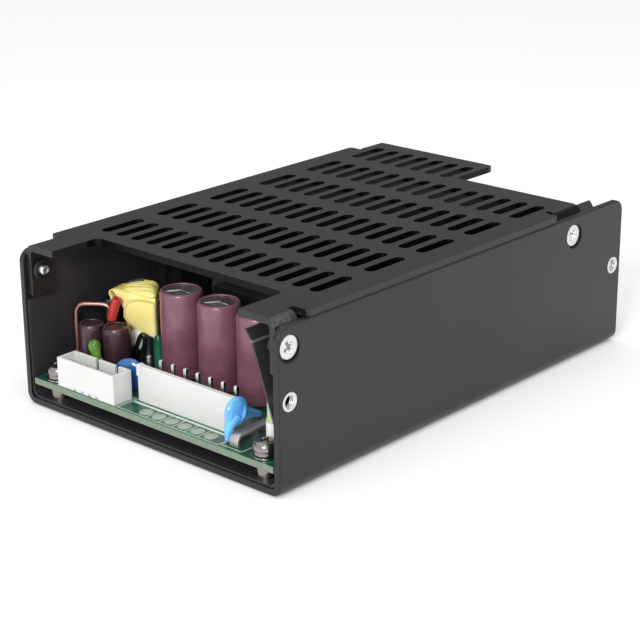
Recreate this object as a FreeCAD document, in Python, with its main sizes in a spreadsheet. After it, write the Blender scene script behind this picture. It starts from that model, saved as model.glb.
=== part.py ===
import FreeCAD, Part
import math
import os
import re
import Sketcher

# Open frame power supply. +Z is up, the open output end faces -Y and the input end +Y.
# The origin is the middle of the underside. Lengths are millimetres.

doc = FreeCAD.newDocument("OpenFramePowerSupply")
sheet = doc.addObject("Spreadsheet::Sheet", "Sizes")

sizes = (
    ("length", "127", "channel, end to end"),
    ("width", "82.6", "over the two walls"),
    ("height", "39.5", "underside to the top of the cover"),
    ("channel_sheet", "1.6", "sheet of the channel"),
    ("bend_radius", "2.8", "outer radius of the channel's bends"),
    ("wall_corner_radius", "3", "top corners of the walls"),
    ("edge_round", "0.4", "worn edge of the walls' outer faces"),
    ("cover_sheet", "1.6", "sheet of the cover"),
    ("cover_side_inset", "0.4", "cover's long edges inside the walls' outer faces"),
    ("cover_front_inset", "1", "finger ends behind the channel's front"),
    ("cover_rear_inset", "0.6", "tongue end ahead of the channel's rear"),
    ("cover_corner_radius", "1", "outer corners of the cover"),
    ("notch_depth", "13.8", "front notch of the cover"),
    ("left_finger_width", "7", "left front finger up to its bend line"),
    ("right_finger_width", "8", "right front finger up to its bend line"),
    ("notch_radius", "1.8", "inner corners of the notch"),
    ("input_cutout", "16.4", "cover cut back over the input header"),
    ("tongue_edge", "0.8", "right edge of the tongue from the middle"),
    ("tab_play", "0.1", "tab face to wall face"),
    ("tab_drop", "13", "tab end below the cover's top"),
    ("tab_bend_radius", "2.4", "outer radius of the tab bends"),
    ("front_tab_length", "6.9", "front tabs along the wall"),
    ("rear_tab_length", "9.7", "rear right tab along the wall"),
    ("tongue_tab_length", "7.8", "rear left tab along the wall"),
    ("relief_width", "1.7", "gap beside each tab"),
    ("relief_depth", "0.5", "relief past the bend line"),
    ("slot_width", "2.9", "ventilation slot"),
    ("slot_length", "12.5", "ventilation slot"),
    ("slot_pitch", "5.1", "slots across the cover"),
    ("slot_bridge", "5.43", "metal between two rows of slots"),
    ("slot_side_margin", "6", "slots to the cover's long edges"),
    ("slot_end_margin", "4.35", "slots to the notch and the rear edge"),
    ("tongue_slot_back", "4.95", "tongue row to the tongue's end"),
    ("screw_drop", "6.4", "cover screws below the cover's top"),
    ("front_screw_y", "3.6", "front cover screws behind the front face"),
    ("screw_core_radius", "1.25", "wall of the threaded holes"),
    ("screw_shank_play", "0.05", "shank to thread wall"),
    ("screw_hole_radius", "1.6", "clearance holes"),
    ("cover_head_radius", "2.65", "countersunk heads"),
    ("countersink_radius", "3.1", "countersinks in the walls"),
    ("seat_play", "0.05", "head to countersink"),
    ("clinch_nut_radius", "2.4", "nuts on the tabs"),
    ("clinch_nut_height", "1", "nuts inboard of the tabs"),
    ("insert_radius", "2.2", "side inserts"),
    ("insert_height", "21.1", "side inserts above the underside"),
    ("insert_end_y", "3.4", "side inserts from both ends"),
    ("press_gap", "0.03", "pressed piece to its hole"),
    ("film_thickness", "0.5", "insulation film"),
    ("film_end_inset", "0.5", "film ends inside the channel"),
    ("film_left_drop", "2.9", "left wing below the cover's top"),
    ("film_right_drop", "3.8", "free edge of the right wing below the cover's top"),
    ("film_foot_height", "16", "right wing flat against the wall up to here"),
    ("film_knee_height", "21.5", "first fold of the right wing"),
    ("film_knee_inset", "1.9", "first fold inboard of the wall"),
    ("film_crease_drop", "6.1", "crease of the right wing below the cover's top"),
    ("film_crease_inset", "6.1", "crease inboard of the wall"),
    ("film_edge_inset", "7.9", "free edge inboard of the wall"),
    ("film_tab_play", "0.6", "film cut-outs round the left tabs"),
    ("board_bottom", "5", "board above the underside"),
    ("board_thickness", "1.6", "circuit board"),
    ("board_side_gap", "0.9", "board to the walls"),
    ("board_front_gap", "0.5", "board behind the front face"),
    ("board_rear_gap", "1", "board ahead of the rear face"),
    ("board_screw_side", "5.2", "board screws from the board's long edges"),
    ("board_screw_inset", "3.4", "board screws from the board's ends"),
    ("standoff_radius", "2.25", "standoffs"),
    ("standoff_foot_radius", "1.8", "standoff feet in the floor"),
    ("washer_radius", "3.1", "flat washers"),
    ("washer_thickness", "0.5", "flat washers"),
    ("spring_washer_radius", "2.8", "spring washers"),
    ("spring_washer_thickness", "1.1", "spring washers"),
    ("pan_head_radius", "2.9", "board screw heads"),
    ("pan_head_height", "2.3", "board screw heads"),
    ("board_screw_length", "5.6", "board screws under the head"),
    ("output_pins", "8", "pins of the output header"),
    ("output_pitch", "3.96", "output header"),
    ("output_first_x", "-8", "first output pin"),
    ("output_pin_y", "9.3", "output pins behind the front face"),
    ("output_pin_width", "0.9", "square output pins"),
    ("output_pin_top", "10.7", "output pins above the board"),
    ("output_end_margin", "1.4", "output header past its end pins"),
    ("output_base_height", "3.4", "output header base"),
    ("output_base_depth", "5.6", "output header front to back"),
    ("output_wall_height", "8.8", "output header tall wall"),
    ("output_wall_thickness", "1.3", "output header tall wall"),
    ("output_wall_y", "6.8", "output header front face"),
    ("pin_play", "0.04", "pins to their holes in the headers"),
    ("signal_pins", "7", "pins of the signal header"),
    ("signal_pitch", "2.5", "signal header"),
    ("signal_side", "8.3", "signal header from the board's left edge"),
    ("signal_pin_width", "0.64", "square signal pins"),
    ("signal_pin_top", "6", "signal pins above the board"),
    ("signal_front_y", "0.75", "signal header behind the front face"),
    ("signal_depth", "5.75", "signal header front to back"),
    ("signal_height", "7.2", "signal header"),
    ("signal_wall", "0.8", "shroud of the signal header"),
    ("signal_floor", "2.2", "floor of the shroud"),
    ("signal_end_margin", "2.15", "signal header past its end pins"),
    ("signal_notch", "1.1", "notches in the back of the shroud"),
    ("signal_notch_left", "6.2", "left notch right of the first pin"),
    ("signal_notch_right", "12.9", "right notch right of the first pin"),
    ("signal_notch_rise", "1", "notches above the floor of the shroud"),
    ("drain_width", "0.9", "drain notches at the foot of the shroud"),
    ("drain_height", "0.7", "drain notches at the foot of the shroud"),
    ("drain_count", "4", "drain notches"),
    ("capacitor_radius", "5.1", "output capacitors"),
    ("capacitor_height", "21.5", "output capacitors"),
    ("capacitor_pitch", "12.5", "output capacitors"),
    ("capacitor_count", "3", "output capacitors"),
    ("capacitor_gap", "0.3", "first output capacitor to the taped transformer"),
    ("capacitor_y", "24.9", "output capacitors behind the front face"),
    ("sleeve_thickness", "0.25", "capacitor sleeves"),
    ("can_foot", "0.5", "bevelled foot of a can"),
    ("bead_depth", "0.55", "rolled bead of a can"),
    ("bead_bottom", "1.9", "rolled bead of a can"),
    ("bead_middle", "2.7", "rolled bead of a can"),
    ("bead_top", "3.5", "rolled bead of a can"),
    ("rim_height", "1", "rounded shoulder of a can"),
    ("rim_round", "0.3", "rounded shoulder of a can"),
    ("sleeve_fold", "0.9", "sleeve folded over the shoulder"),
    ("bypass_a_radius", "3.1", "left bypass capacitor"),
    ("bypass_a_side", "7.7", "left bypass capacitor from the board's left edge"),
    ("bypass_a_y", "12.2", "left bypass capacitor behind the front face"),
    ("bypass_b_radius", "3.4", "right bypass capacitor"),
    ("bypass_b_side", "14", "right bypass capacitor from the board's left edge"),
    ("bypass_b_y", "14.4", "right bypass capacitor behind the front face"),
    ("bypass_height", "12.5", "bypass capacitors"),
    ("start_radius", "2.6", "capacitor behind the copper link"),
    ("start_height", "15.4", "capacitor behind the copper link"),
    ("start_side", "3.6", "capacitor behind the copper link from the board's left edge"),
    ("start_y", "22.6", "capacitor behind the copper link"),
    ("led_radius", "1.5", "indicator lamps"),
    ("led_height", "5.3", "indicator lamps"),
    ("led_flange", "1.75", "foot ring of the lamps"),
    ("led_flange_height", "0.8", "foot ring of the lamps"),
    ("led_lead_reach", "0.64", "lamp leads from the lamp's middle"),
    ("signal_led_side", "13.5", "signal lamp from the board's left edge"),
    ("signal_led_gap", "0.2", "signal lamp to the signal header"),
    ("output_led_side", "7.4", "output lamp from the board's right edge"),
    ("output_led_y", "8.8", "output lamp behind the front face"),
    ("signal_led_rise", "5.1", "signal lamp above the board"),
    ("spacer_height", "5.8", "spacer under the output lamp"),
    ("lead_radius", "0.3", "component leads"),
    ("disc_radius", "3.4", "bright disc capacitor"),
    ("disc_lead_reach", "2.9", "bright disc's front lead from its middle"),
    ("disc_tail_reach", "7.2", "bright disc's splayed rear lead behind its middle"),
    ("disc_tail_drop", "2.8", "knee of that lead below the disc's middle"),
    ("disc_tail_bend", "0.6", "bend of that lead"),
    ("disc_thickness", "3", "bright disc capacitor"),
    ("disc_gap", "2", "bright disc's middle plane beside the output header"),
    ("disc_y", "5.8", "bright disc behind the front face"),
    ("disc_strap_gap", "0.3", "bright disc above the strap"),
    ("disc_lead_gap", "0.05", "lead ends below the disc's coat"),
    ("small_disc_radius", "4", "dark disc capacitor"),
    ("small_disc_thickness", "2.6", "dark disc capacitor"),
    ("small_disc_side", "5.8", "dark disc capacitor beside the output header"),
    ("small_disc_y", "9.6", "dark disc capacitor behind the front face"),
    ("small_disc_rise", "0.1", "dark disc capacitors above the board"),
    ("strap_width", "2.6", "tinned strap"),
    ("strap_offset", "2.2", "tinned strap right of the bright disc's middle plane"),
    ("strap_y", "2.4", "tinned strap behind the front face"),
    ("strap_thickness", "0.8", "tinned strap"),
    ("strap_height", "2.9", "tinned strap above the board"),
    ("strap_length", "12", "tinned strap"),
    ("link_radius", "0.5", "copper link"),
    ("link_height", "15.4", "copper link above the board"),
    ("link_side", "0.8", "copper link from the board's left edge"),
    ("link_y", "13.6", "copper link behind the front face"),
    ("link_shoulder", "3.2", "copper link's lower bend below its top"),
    ("link_knee_x", "2.8", "copper link's second bend"),
    ("link_knee_y", "1.2", "copper link's second bend"),
    ("link_reach_y", "4.7", "copper link's last leg behind its first"),
    ("link_aux_gap", "1.1", "copper link's last leg beside the taped transformer"),
    ("link_bend", "1.2", "bends of the copper link"),
    ("lead_wire_radius", "0.45", "winding lead"),
    ("lead_bend", "0.6", "bends of the winding lead"),
    ("lead_inset", "0.6", "winding lead inside the transformer's left face"),
    ("lead_lean", "1.8", "sideways lean of the winding lead"),
    ("lead_reach", "1", "last run of the winding lead"),
    ("lead_y", "2", "winding lead ahead of the taped transformer"),
    ("lead_lean_y", "0.5", "rearward lean of the winding lead"),
    ("lead_end_gap", "0.35", "winding lead to the taped transformer"),
    ("lead_low_height", "12", "winding lead's lower bend above the board"),
    ("lead_high_height", "18", "winding lead's upper bend above the board"),
    ("tube_radius", "1.1", "red tube on the winding lead"),
    ("tube_length", "5.2", "red tube on the winding lead"),
    ("tube_setback", "0.5", "red tube above the lower bend"),
    ("aux_side", "9", "taped transformer from the board's left edge"),
    ("aux_y", "18.9", "taped transformer behind the front face"),
    ("aux_width", "11.1", "taped transformer"),
    ("aux_depth", "9.8", "taped transformer"),
    ("aux_height", "16.4", "taped transformer above its bobbin"),
    ("aux_tape", "2.6", "winding and tape over the core"),
    ("aux_corner", "2.4", "rounded edges of the taped transformer"),
    ("bobbin_height", "2.6", "bobbin feet"),
    ("bobbin_inset", "0.6", "bobbin inside the taped transformer's sides"),
    ("core_width", "34", "power transformer core"),
    ("core_depth", "15", "power transformer core"),
    ("core_height", "22", "power transformer core"),
    ("core_leg", "5.2", "outer legs of the core"),
    ("winding_gap", "0.4", "winding to core"),
    ("winding_overhang", "5", "winding past the core faces"),
    ("winding_play", "0.1", "winding to the core's middle leg"),
    ("bobbin_end_gap", "0.5", "bobbin ends to the core faces"),
    ("core_choke_gap", "1.6", "core to the output choke"),
    ("core_share", "0.379", "part of the free length ahead of the winding"),
    ("control_share", "0.058", "part of the free length ahead of the control board"),
    ("bulk_share", "0.053", "part of the free length ahead of the bulk capacitor"),
    ("filter_share", "0.243", "part of the free length ahead of the filter choke"),
    ("heatsink_thickness", "2.5", "heatsink plates"),
    ("heatsink_height", "23", "heatsink plates"),
    ("heatsink_flange", "2.5", "foot flanges of the heatsinks"),
    ("primary_heatsink_length", "50", "left heatsink"),
    ("primary_heatsink_side", "1.6", "left heatsink from the board's left edge"),
    ("primary_heatsink_lead", "1.5", "left heatsink ahead of the core"),
    ("secondary_heatsink_length", "30", "right heatsink"),
    ("secondary_heatsink_side", "7.4", "right heatsink's inner face from the board's right edge"),
    ("secondary_heatsink_setback", "15.5", "right heatsink behind the core's front"),
    ("device_width", "10", "power devices"),
    ("device_height", "15", "power devices"),
    ("device_thickness", "4.4", "power devices"),
    ("device_pitch", "14.5", "power devices along a heatsink"),
    ("primary_device_inset", "6", "first power device on the left heatsink"),
    ("secondary_device_inset", "7.5", "first power device on the right heatsink"),
    ("device_rise", "2.4", "power devices above the heatsinks' flanges"),
    ("device_lead_pitch", "2.54", "leads of the power devices"),
    ("device_lead_width", "0.8", "leads of the power devices"),
    ("device_lead_thickness", "0.6", "leads of the power devices"),
    ("device_lead_inset", "1", "leads inside the devices' outer faces"),
    ("bulk_radius", "11", "bulk capacitor"),
    ("bulk_height", "25", "bulk capacitor"),
    ("bulk_gap", "0.8", "bulk capacitor to the power devices"),
    ("boost_share", "0.4", "boost choke's place between its neighbours"),
    ("boost_setback", "1", "boost choke behind the bulk capacitor's middle"),
    ("toroid_radius", "11", "boost choke"),
    ("toroid_hole", "5", "boost choke"),
    ("toroid_height", "11", "boost choke"),
    ("choke_radius", "9", "filter choke and output choke"),
    ("choke_hole", "4", "filter choke and output choke"),
    ("choke_height", "9", "filter choke and output choke"),
    ("choke_foot", "1.2", "insulating foot under each choke"),
    ("choke_foot_inset", "0.5", "insulating foot inside each choke's rim"),
    ("output_choke_side", "14.2", "output choke from the board's right edge"),
    ("output_choke_y", "42", "output choke behind the front face"),
    ("filter_choke_gap", "4", "filter choke to the film capacitors"),
    ("filter_capacitor_length", "18", "film capacitor"),
    ("filter_capacitor_depth", "8", "film capacitor"),
    ("filter_capacitor_height", "14", "film capacitor"),
    ("filter_capacitor_side", "7.8", "film capacitors from the board's right edge"),
    ("filter_capacitor_gap", "2", "between the film capacitors"),
    ("filter_capacitor_share", "0.426", "film capacitors' place between boost choke and fuse"),
    ("fuse_radius", "2.6", "fuse"),
    ("fuse_length", "20", "fuse"),
    ("fuse_cap_length", "5", "fuse end caps"),
    ("fuse_cap_wall", "0.2", "wall of the fuse end caps"),
    ("fuse_rise", "1", "fuse above the board"),
    ("fuse_x", "4", "fuse's left end"),
    ("fuse_back", "19", "fuse ahead of the rear face"),
    ("fuse_clip_inset", "0.8", "clips inside the fuse end caps"),
    ("surge_radius", "7.2", "varistor"),
    ("surge_thickness", "4.2", "varistor"),
    ("surge_gap", "1.5", "varistor to the thermistor"),
    ("surge_back", "8.5", "varistor ahead of the rear face"),
    ("inrush_radius", "6.3", "thermistor"),
    ("inrush_thickness", "5", "thermistor"),
    ("inrush_side", "16.8", "thermistor from the board's left edge"),
    ("inrush_back", "9", "thermistor ahead of the rear face"),
    ("large_disc_rise", "1.5", "varistor and thermistor above the board"),
    ("safety_side", "4.8", "safety capacitors from the board's right edge"),
    ("safety_first_share", "0.3", "part of the free length ahead of the first"),
    ("safety_second_share", "0.24", "part of the free length between the two"),
    ("input_pins", "3", "pins of the input header"),
    ("input_pitch", "7.92", "input header"),
    ("input_pin_back", "6.8", "input pins ahead of the rear face"),
    ("input_first_x", "9", "first input pin"),
    ("control_width", "28", "control board"),
    ("control_height", "20", "control board"),
    ("control_thickness", "1.2", "control board"),
    ("control_inset", "1", "control board inside the core's left end"),
    ("package_first_x", "14", "packages on the control board"),
    ("package_pitch", "7", "packages on the control board"),
    ("package_rise", "9", "packages on the control board"),
    ("package_width", "6", "packages on the control board"),
    ("package_thickness", "1.6", "packages on the control board"),
    ("package_height", "4", "packages on the control board"),
)
for row, (alias, number, note) in enumerate(sizes, 1):
    sheet.set(f"A{row}", alias)
    sheet.set(f"B{row}", number)
    sheet.set(f"C{row}", note)
    sheet.setAlias(f"B{row}", alias)
doc.recompute()
aliases = {alias for alias, number, note in sizes}

# Places that many pieces share, in terms of the sheet's sizes.
front = "(-length / 2)"
rear = "(length / 2)"
floor = "channel_sheet"
board_top = "(board_bottom + board_thickness)"
wall_top = "(height - cover_sheet)"
cover_edge = "(width / 2 - cover_side_inset)"
inner_wall = "(width / 2 - channel_sheet)"
tab_face = "(width / 2 - channel_sheet - tab_play)"
bend_line = f"({tab_face} - tab_bend_radius)"
tab_inside = f"({tab_face} - cover_sheet)"
shank_radius = "(screw_core_radius - screw_shank_play)"
screw_height = "(height - screw_drop)"
board_edge = f"({inner_wall} - board_side_gap)"
board_screw_x = f"({board_edge} - board_screw_side)"
output_start = "(output_first_x - output_end_margin)"
output_length = "((output_pins - 1) * output_pitch + 2 * output_end_margin)"
output_end = f"({output_start} + {output_length})"
aux_left = f"(-{board_edge} + aux_side)"
aux_right = f"({aux_left} + aux_width)"
aux_front = f"({front} + aux_y)"

# The column of tall parts along the board shares the length that they leave free.
column_slack = (
    "(length - aux_y - aux_depth - core_depth - 2 * winding_overhang - control_thickness"
    " - 2 * bulk_radius - 2 * choke_radius - inrush_back - inrush_thickness / 2)"
)
core_front = f"({aux_front} + aux_depth + core_share * {column_slack} + winding_overhang)"
control_y = f"({core_front} + core_depth + winding_overhang + control_share * {column_slack})"
bulk_y = f"({control_y} + control_thickness + bulk_share * {column_slack} + bulk_radius)"
filter_choke_y = f"({bulk_y} + bulk_radius + filter_share * {column_slack} + choke_radius)"


def bound(expression):
    """The expression with every size named in full."""
    return re.sub(
        r"[a-z]\w*",
        lambda word: "Sizes." + word[0] if word[0] in aliases else word[0],
        str(expression),
    )


def value(expression):
    """The expression's value with the sheet as it is."""
    return float(sheet.evalExpression(str(expression)))


def bind(thing, **properties):
    for name, expression in properties.items():
        thing.setExpression(name.replace("_of_", "."), bound(expression))
    return thing


def place(thing, x, y, z, turn=None):
    """Puts a piece at a bound point, turned by a fixed rotation."""
    if turn is not None:
        thing.Placement = FreeCAD.Placement(FreeCAD.Vector(), turn)
    for axis, expression in zip("xyz", (x, y, z)):
        thing.setExpression(f"Placement.Base.{axis}", bound(expression))
    return thing


along_x = FreeCAD.Rotation(FreeCAD.Vector(0, 0, 1), FreeCAD.Vector(1, 0, 0))
along_minus_x = FreeCAD.Rotation(FreeCAD.Vector(0, 0, 1), FreeCAD.Vector(-1, 0, 0))
along_y = FreeCAD.Rotation(FreeCAD.Vector(0, 0, 1), FreeCAD.Vector(0, 1, 0))
half_turn = FreeCAD.Rotation(FreeCAD.Vector(0, 0, 1), 180)


def block(name, x, y, z, dx, dy, dz):
    thing = doc.addObject("Part::Box", name)
    bind(thing, Length=dx, Width=dy, Height=dz)
    return place(thing, x, y, z)


def rod(name, radius, height, x="0", y="0", z="0", turn=None):
    thing = doc.addObject("Part::Cylinder", name)
    bind(thing, Radius=radius, Height=height)
    return place(thing, x, y, z, turn)


def cone(name, radius1, radius2, height, x="0", y="0", z="0", turn=None):
    thing = doc.addObject("Part::Cone", name)
    bind(thing, Radius1=radius1, Radius2=radius2, Height=height)
    return place(thing, x, y, z, turn)


def cut(name, base, *tools):
    tool = tools[0]
    if len(tools) > 1:
        tool = doc.addObject("Part::MultiFuse", name + "_tools")
        tool.Shapes = list(tools)
    thing = doc.addObject("Part::Cut", name)
    thing.Base = base
    thing.Tool = tool
    return thing


def fuse(name, *pieces):
    thing = doc.addObject("Part::MultiFuse", name)
    thing.Shapes = list(pieces)
    return thing


def group(name, *pieces):
    """Separate solids kept in one node."""
    thing = doc.addObject("Part::Compound", name)
    thing.Links = list(pieces)
    return thing


def copies(name, piece, places):
    """One node with a copy of the piece at each place."""
    links = []
    for number, (x, y, z, turn) in enumerate(places, 1):
        link = doc.addObject("App::Link", f"{name}_{number}")
        link.LinkedObject = piece
        links.append(place(link, x, y, z, turn))
    return group(name, *links)


def body(name):
    return doc.addObject("PartDesign::Body", name)


def sketch(owner, name, role, offset="0"):
    """A sketch on one of the body's own planes, moved along its normal."""
    plane = next(item for item in owner.Origin.OriginFeatures if item.Role == role)
    drawing = owner.newObject("Sketcher::SketchObject", name)
    drawing.AttachmentSupport = [(plane, "")]
    drawing.MapMode = "FlatFace"
    drawing.setExpression("AttachmentOffset.Base.z", bound(offset))
    return drawing


def dimension(drawing, kind, item, point, expression):
    """Ties a point of the drawing to an expression, measured from the drawing's origin."""
    number = drawing.addConstraint(
        Sketcher.Constraint(kind, -1, 1, item, point, value(expression))
    )
    drawing.setExpression(f"Constraints[{number}]", bound(expression))


def polygon(drawing, points):
    """A closed outline whose corners are all bound."""
    start = drawing.GeometryCount
    corners = [FreeCAD.Vector(value(u), value(w), 0) for u, w in points]
    count = len(points)
    for i in range(count):
        drawing.addGeometry(Part.LineSegment(corners[i], corners[(i + 1) % count]), False)
    for i in range(count):
        after = start + (i + 1) % count
        drawing.addConstraint(Sketcher.Constraint("Coincident", start + i, 2, after, 1))
    for i, (u, w) in enumerate(points):
        dimension(drawing, "DistanceX", start + i, 1, u)
        dimension(drawing, "DistanceY", start + i, 1, w)
    return drawing


def rectangle(drawing, u0, w0, u1, w1):
    return polygon(drawing, [(u0, w0), (u1, w0), (u1, w1), (u0, w1)])


def circle(drawing, u, w, radius):
    middle = FreeCAD.Vector(value(u), value(w), 0)
    item = drawing.addGeometry(
        Part.Circle(middle, FreeCAD.Vector(0, 0, 1), value(radius)), False
    )
    dimension(drawing, "DistanceX", item, 3, u)
    dimension(drawing, "DistanceY", item, 3, w)
    number = drawing.addConstraint(Sketcher.Constraint("Radius", item, value(radius)))
    drawing.setExpression(f"Constraints[{number}]", bound(radius))
    return drawing


def obround(drawing, u, w, slot_width, slot_length):
    """A slot along the drawing's second axis: two lines and two half circles."""
    radius = value(slot_width) / 2
    reach = (value(slot_length) - value(slot_width)) / 2
    middle_u, middle_w = value(u), value(w)
    right, left = middle_u + radius, middle_u - radius
    low, high = middle_w - reach, middle_w + reach
    normal = FreeCAD.Vector(0, 0, 1)
    point = FreeCAD.Vector
    top = Part.Circle(point(middle_u, high, 0), normal, radius)
    bottom = Part.Circle(point(middle_u, low, 0), normal, radius)
    drawing.addGeometry(Part.LineSegment(point(right, low, 0), point(right, high, 0)), False)
    drawing.addGeometry(Part.ArcOfCircle(top, 0, math.pi), False)
    drawing.addGeometry(Part.LineSegment(point(left, high, 0), point(left, low, 0)), False)
    drawing.addGeometry(Part.ArcOfCircle(bottom, math.pi, 2 * math.pi), False)
    for i in range(4):
        drawing.addConstraint(Sketcher.Constraint("Tangent", i, 2, (i + 1) % 4, 1))
    drawing.addConstraint(Sketcher.Constraint("Equal", 1, 3))
    drawing.addConstraint(Sketcher.Constraint("Vertical", 0))
    number = drawing.addConstraint(Sketcher.Constraint("Radius", 1, radius))
    drawing.setExpression(f"Constraints[{number}]", bound(f"{slot_width} / 2"))
    dimension(drawing, "DistanceX", 1, 3, u)
    dimension(drawing, "DistanceY", 1, 3, f"{w} + ({slot_length} - {slot_width}) / 2")
    dimension(drawing, "DistanceY", 3, 3, f"{w} - ({slot_length} - {slot_width}) / 2")
    return drawing


def pad(owner, drawing, length, both_ways=False):
    feature = owner.newObject("PartDesign::Pad", drawing.Name + "_pad")
    feature.Profile = drawing
    feature.setExpression("Length", bound(length))
    if both_ways:
        feature.SideType = "Symmetric"
    return feature


def pocket(owner, drawing, length, both_ways=False):
    """A cut against the drawing's normal, or to both sides of it."""
    feature = owner.newObject("PartDesign::Pocket", drawing.Name + "_cut")
    feature.Profile = drawing
    feature.setExpression("Length", bound(length))
    if both_ways:
        feature.SideType = "Symmetric"
    return feature


def pattern(owner, feature, direction, spacing, count, direction2=None, spacing2=None, count2=None):
    """Repeats a feature along one or two directions."""
    repeat = owner.newObject("PartDesign::LinearPattern", feature.Name + "_pattern")
    repeat.Originals = [feature]
    repeat.Direction = direction
    repeat.setExpression("Length", bound(f"({spacing}) * ({count} - 1)"))
    repeat.setExpression("Occurrences", bound(count))
    if direction2 is not None:
        repeat.Direction2 = direction2
        repeat.setExpression("Length2", bound(f"({spacing2}) * ({count2} - 1)"))
        repeat.setExpression("Occurrences2", bound(count2))
    owner.Tip = repeat
    return repeat


def edges(feature, wanted):
    """Names of the feature's edges whose box passes the test."""
    doc.recompute()
    found = []
    for number, edge in enumerate(feature.Shape.Edges, 1):
        if wanted(edge.BoundBox):
            found.append(f"Edge{number}")
    return found


def fillet(owner, feature, radius, wanted):
    rounding = owner.newObject("PartDesign::Fillet", f"{feature.Name}_round")
    rounding.Base = (feature, edges(feature, wanted))
    rounding.setExpression("Radius", bound(radius))
    return rounding


def chamfer(owner, feature, size, wanted):
    bevel = owner.newObject("PartDesign::Chamfer", f"{feature.Name}_bevel")
    bevel.Base = (feature, edges(feature, wanted))
    bevel.setExpression("Size", bound(size))
    return bevel


def turned(name, outline):
    """A body turned from a half outline of (radius, height) corners about its own Z."""
    owner = body(name)
    drawing = polygon(sketch(owner, name + "_outline", "XZ_Plane"), outline)
    turn = owner.newObject("PartDesign::Revolution", name + "_turn")
    turn.Profile = drawing
    turn.ReferenceAxis = (drawing, ["V_Axis"])
    turn.Angle = 360
    return owner


def near(a, b):
    return abs(a - b) < 0.01


def along(box, axis):
    """Whether an edge's box runs along one axis only."""
    spans = {"X": box.XLength, "Y": box.YLength, "Z": box.ZLength}
    return spans[axis] > 0.3 and all(span < 0.01 for key, span in spans.items() if key != axis)


nodes = {}


def node(name, thing):
    thing.Label = name
    nodes[name] = thing
    return thing


# The channel: floor and two walls bent from one sheet, with rounded wall corners.
channel = body("chassis")
profile = polygon(sketch(channel, "channel_profile", "XZ_Plane"), [
    ("-width / 2", "0"),
    ("width / 2", "0"),
    ("width / 2", wall_top),
    (inner_wall, wall_top),
    (inner_wall, floor),
    (f"-{inner_wall}", floor),
    (f"-{inner_wall}", wall_top),
    ("-width / 2", wall_top),
])
channel_pad = pad(channel, profile, "length", both_ways=True)
outer_bends = fillet(
    channel, channel_pad, "bend_radius",
    lambda box: along(box, "Y") and near(box.ZMin, 0),
)
inner_bends = fillet(
    channel, outer_bends, "bend_radius - channel_sheet",
    lambda box: along(box, "Y") and near(box.ZMin, value(floor))
    and near(abs(box.XMin), value(inner_wall)),
)
wall_corners = fillet(
    channel, inner_bends, "wall_corner_radius",
    lambda box: along(box, "X") and near(box.ZMin, value(wall_top)),
)
fillet(
    channel, wall_corners, "edge_round",
    lambda box: near(abs(box.XMin), value("width / 2")) and near(box.XLength, 0)
    and box.ZMax > value("bend_radius") + 0.1,
)

# Screw holes: the front pair, one behind the right tab and one behind the tongue's tab.
tab_front = f"({front} + cover_front_inset)"
main_rear = f"({rear} - input_cutout)"
tongue_rear = f"({rear} - cover_rear_inset)"
front_screw = f"({front} + front_screw_y)"
right_rear_screw = f"({main_rear} - rear_tab_length / 2)"
left_rear_screw = f"({tongue_rear} - tongue_tab_length / 2)"
insert_front = f"({front} + insert_end_y)"
insert_rear = f"({rear} - insert_end_y)"

right_holes = sketch(channel, "right_holes", "YZ_Plane", "width / 2")
left_holes = sketch(channel, "left_holes", "YZ_Plane", f"-{inner_wall}")
for drawing, rear_screw in ((right_holes, right_rear_screw), (left_holes, left_rear_screw)):
    circle(drawing, front_screw, screw_height, "screw_hole_radius")
    circle(drawing, rear_screw, screw_height, "screw_hole_radius")
    circle(drawing, insert_front, "insert_height", "insert_radius + press_gap")
    circle(drawing, insert_rear, "insert_height", "insert_radius + press_gap")
pocket(channel, right_holes, "channel_sheet")
both_walls = pocket(channel, left_holes, "channel_sheet")
chamfer(
    channel, both_walls, "countersink_radius - screw_hole_radius",
    lambda box: near(abs(box.XMin), value("width / 2")) and near(box.XLength, 0)
    and near(box.ZMax, value(f"{screw_height} + screw_hole_radius"))
    and near(box.YLength, value("2 * screw_hole_radius")),
)
board_front = f"({front} + board_front_gap)"
board_rear = f"({rear} - board_rear_gap)"
screw_rows = (f"({board_front} + board_screw_inset)", f"({board_rear} - board_screw_inset)")
board_screw_places = [
    (side + board_screw_x, y) for y in screw_rows for side in ("-", "")
]
floor_holes = sketch(channel, "floor_holes", "XY_Plane")
for x, y in board_screw_places:
    circle(floor_holes, x, y, "standoff_foot_radius + press_gap")
pocket(channel, floor_holes, "4 * channel_sheet", both_ways=True)
node("chassis", channel)

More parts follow.
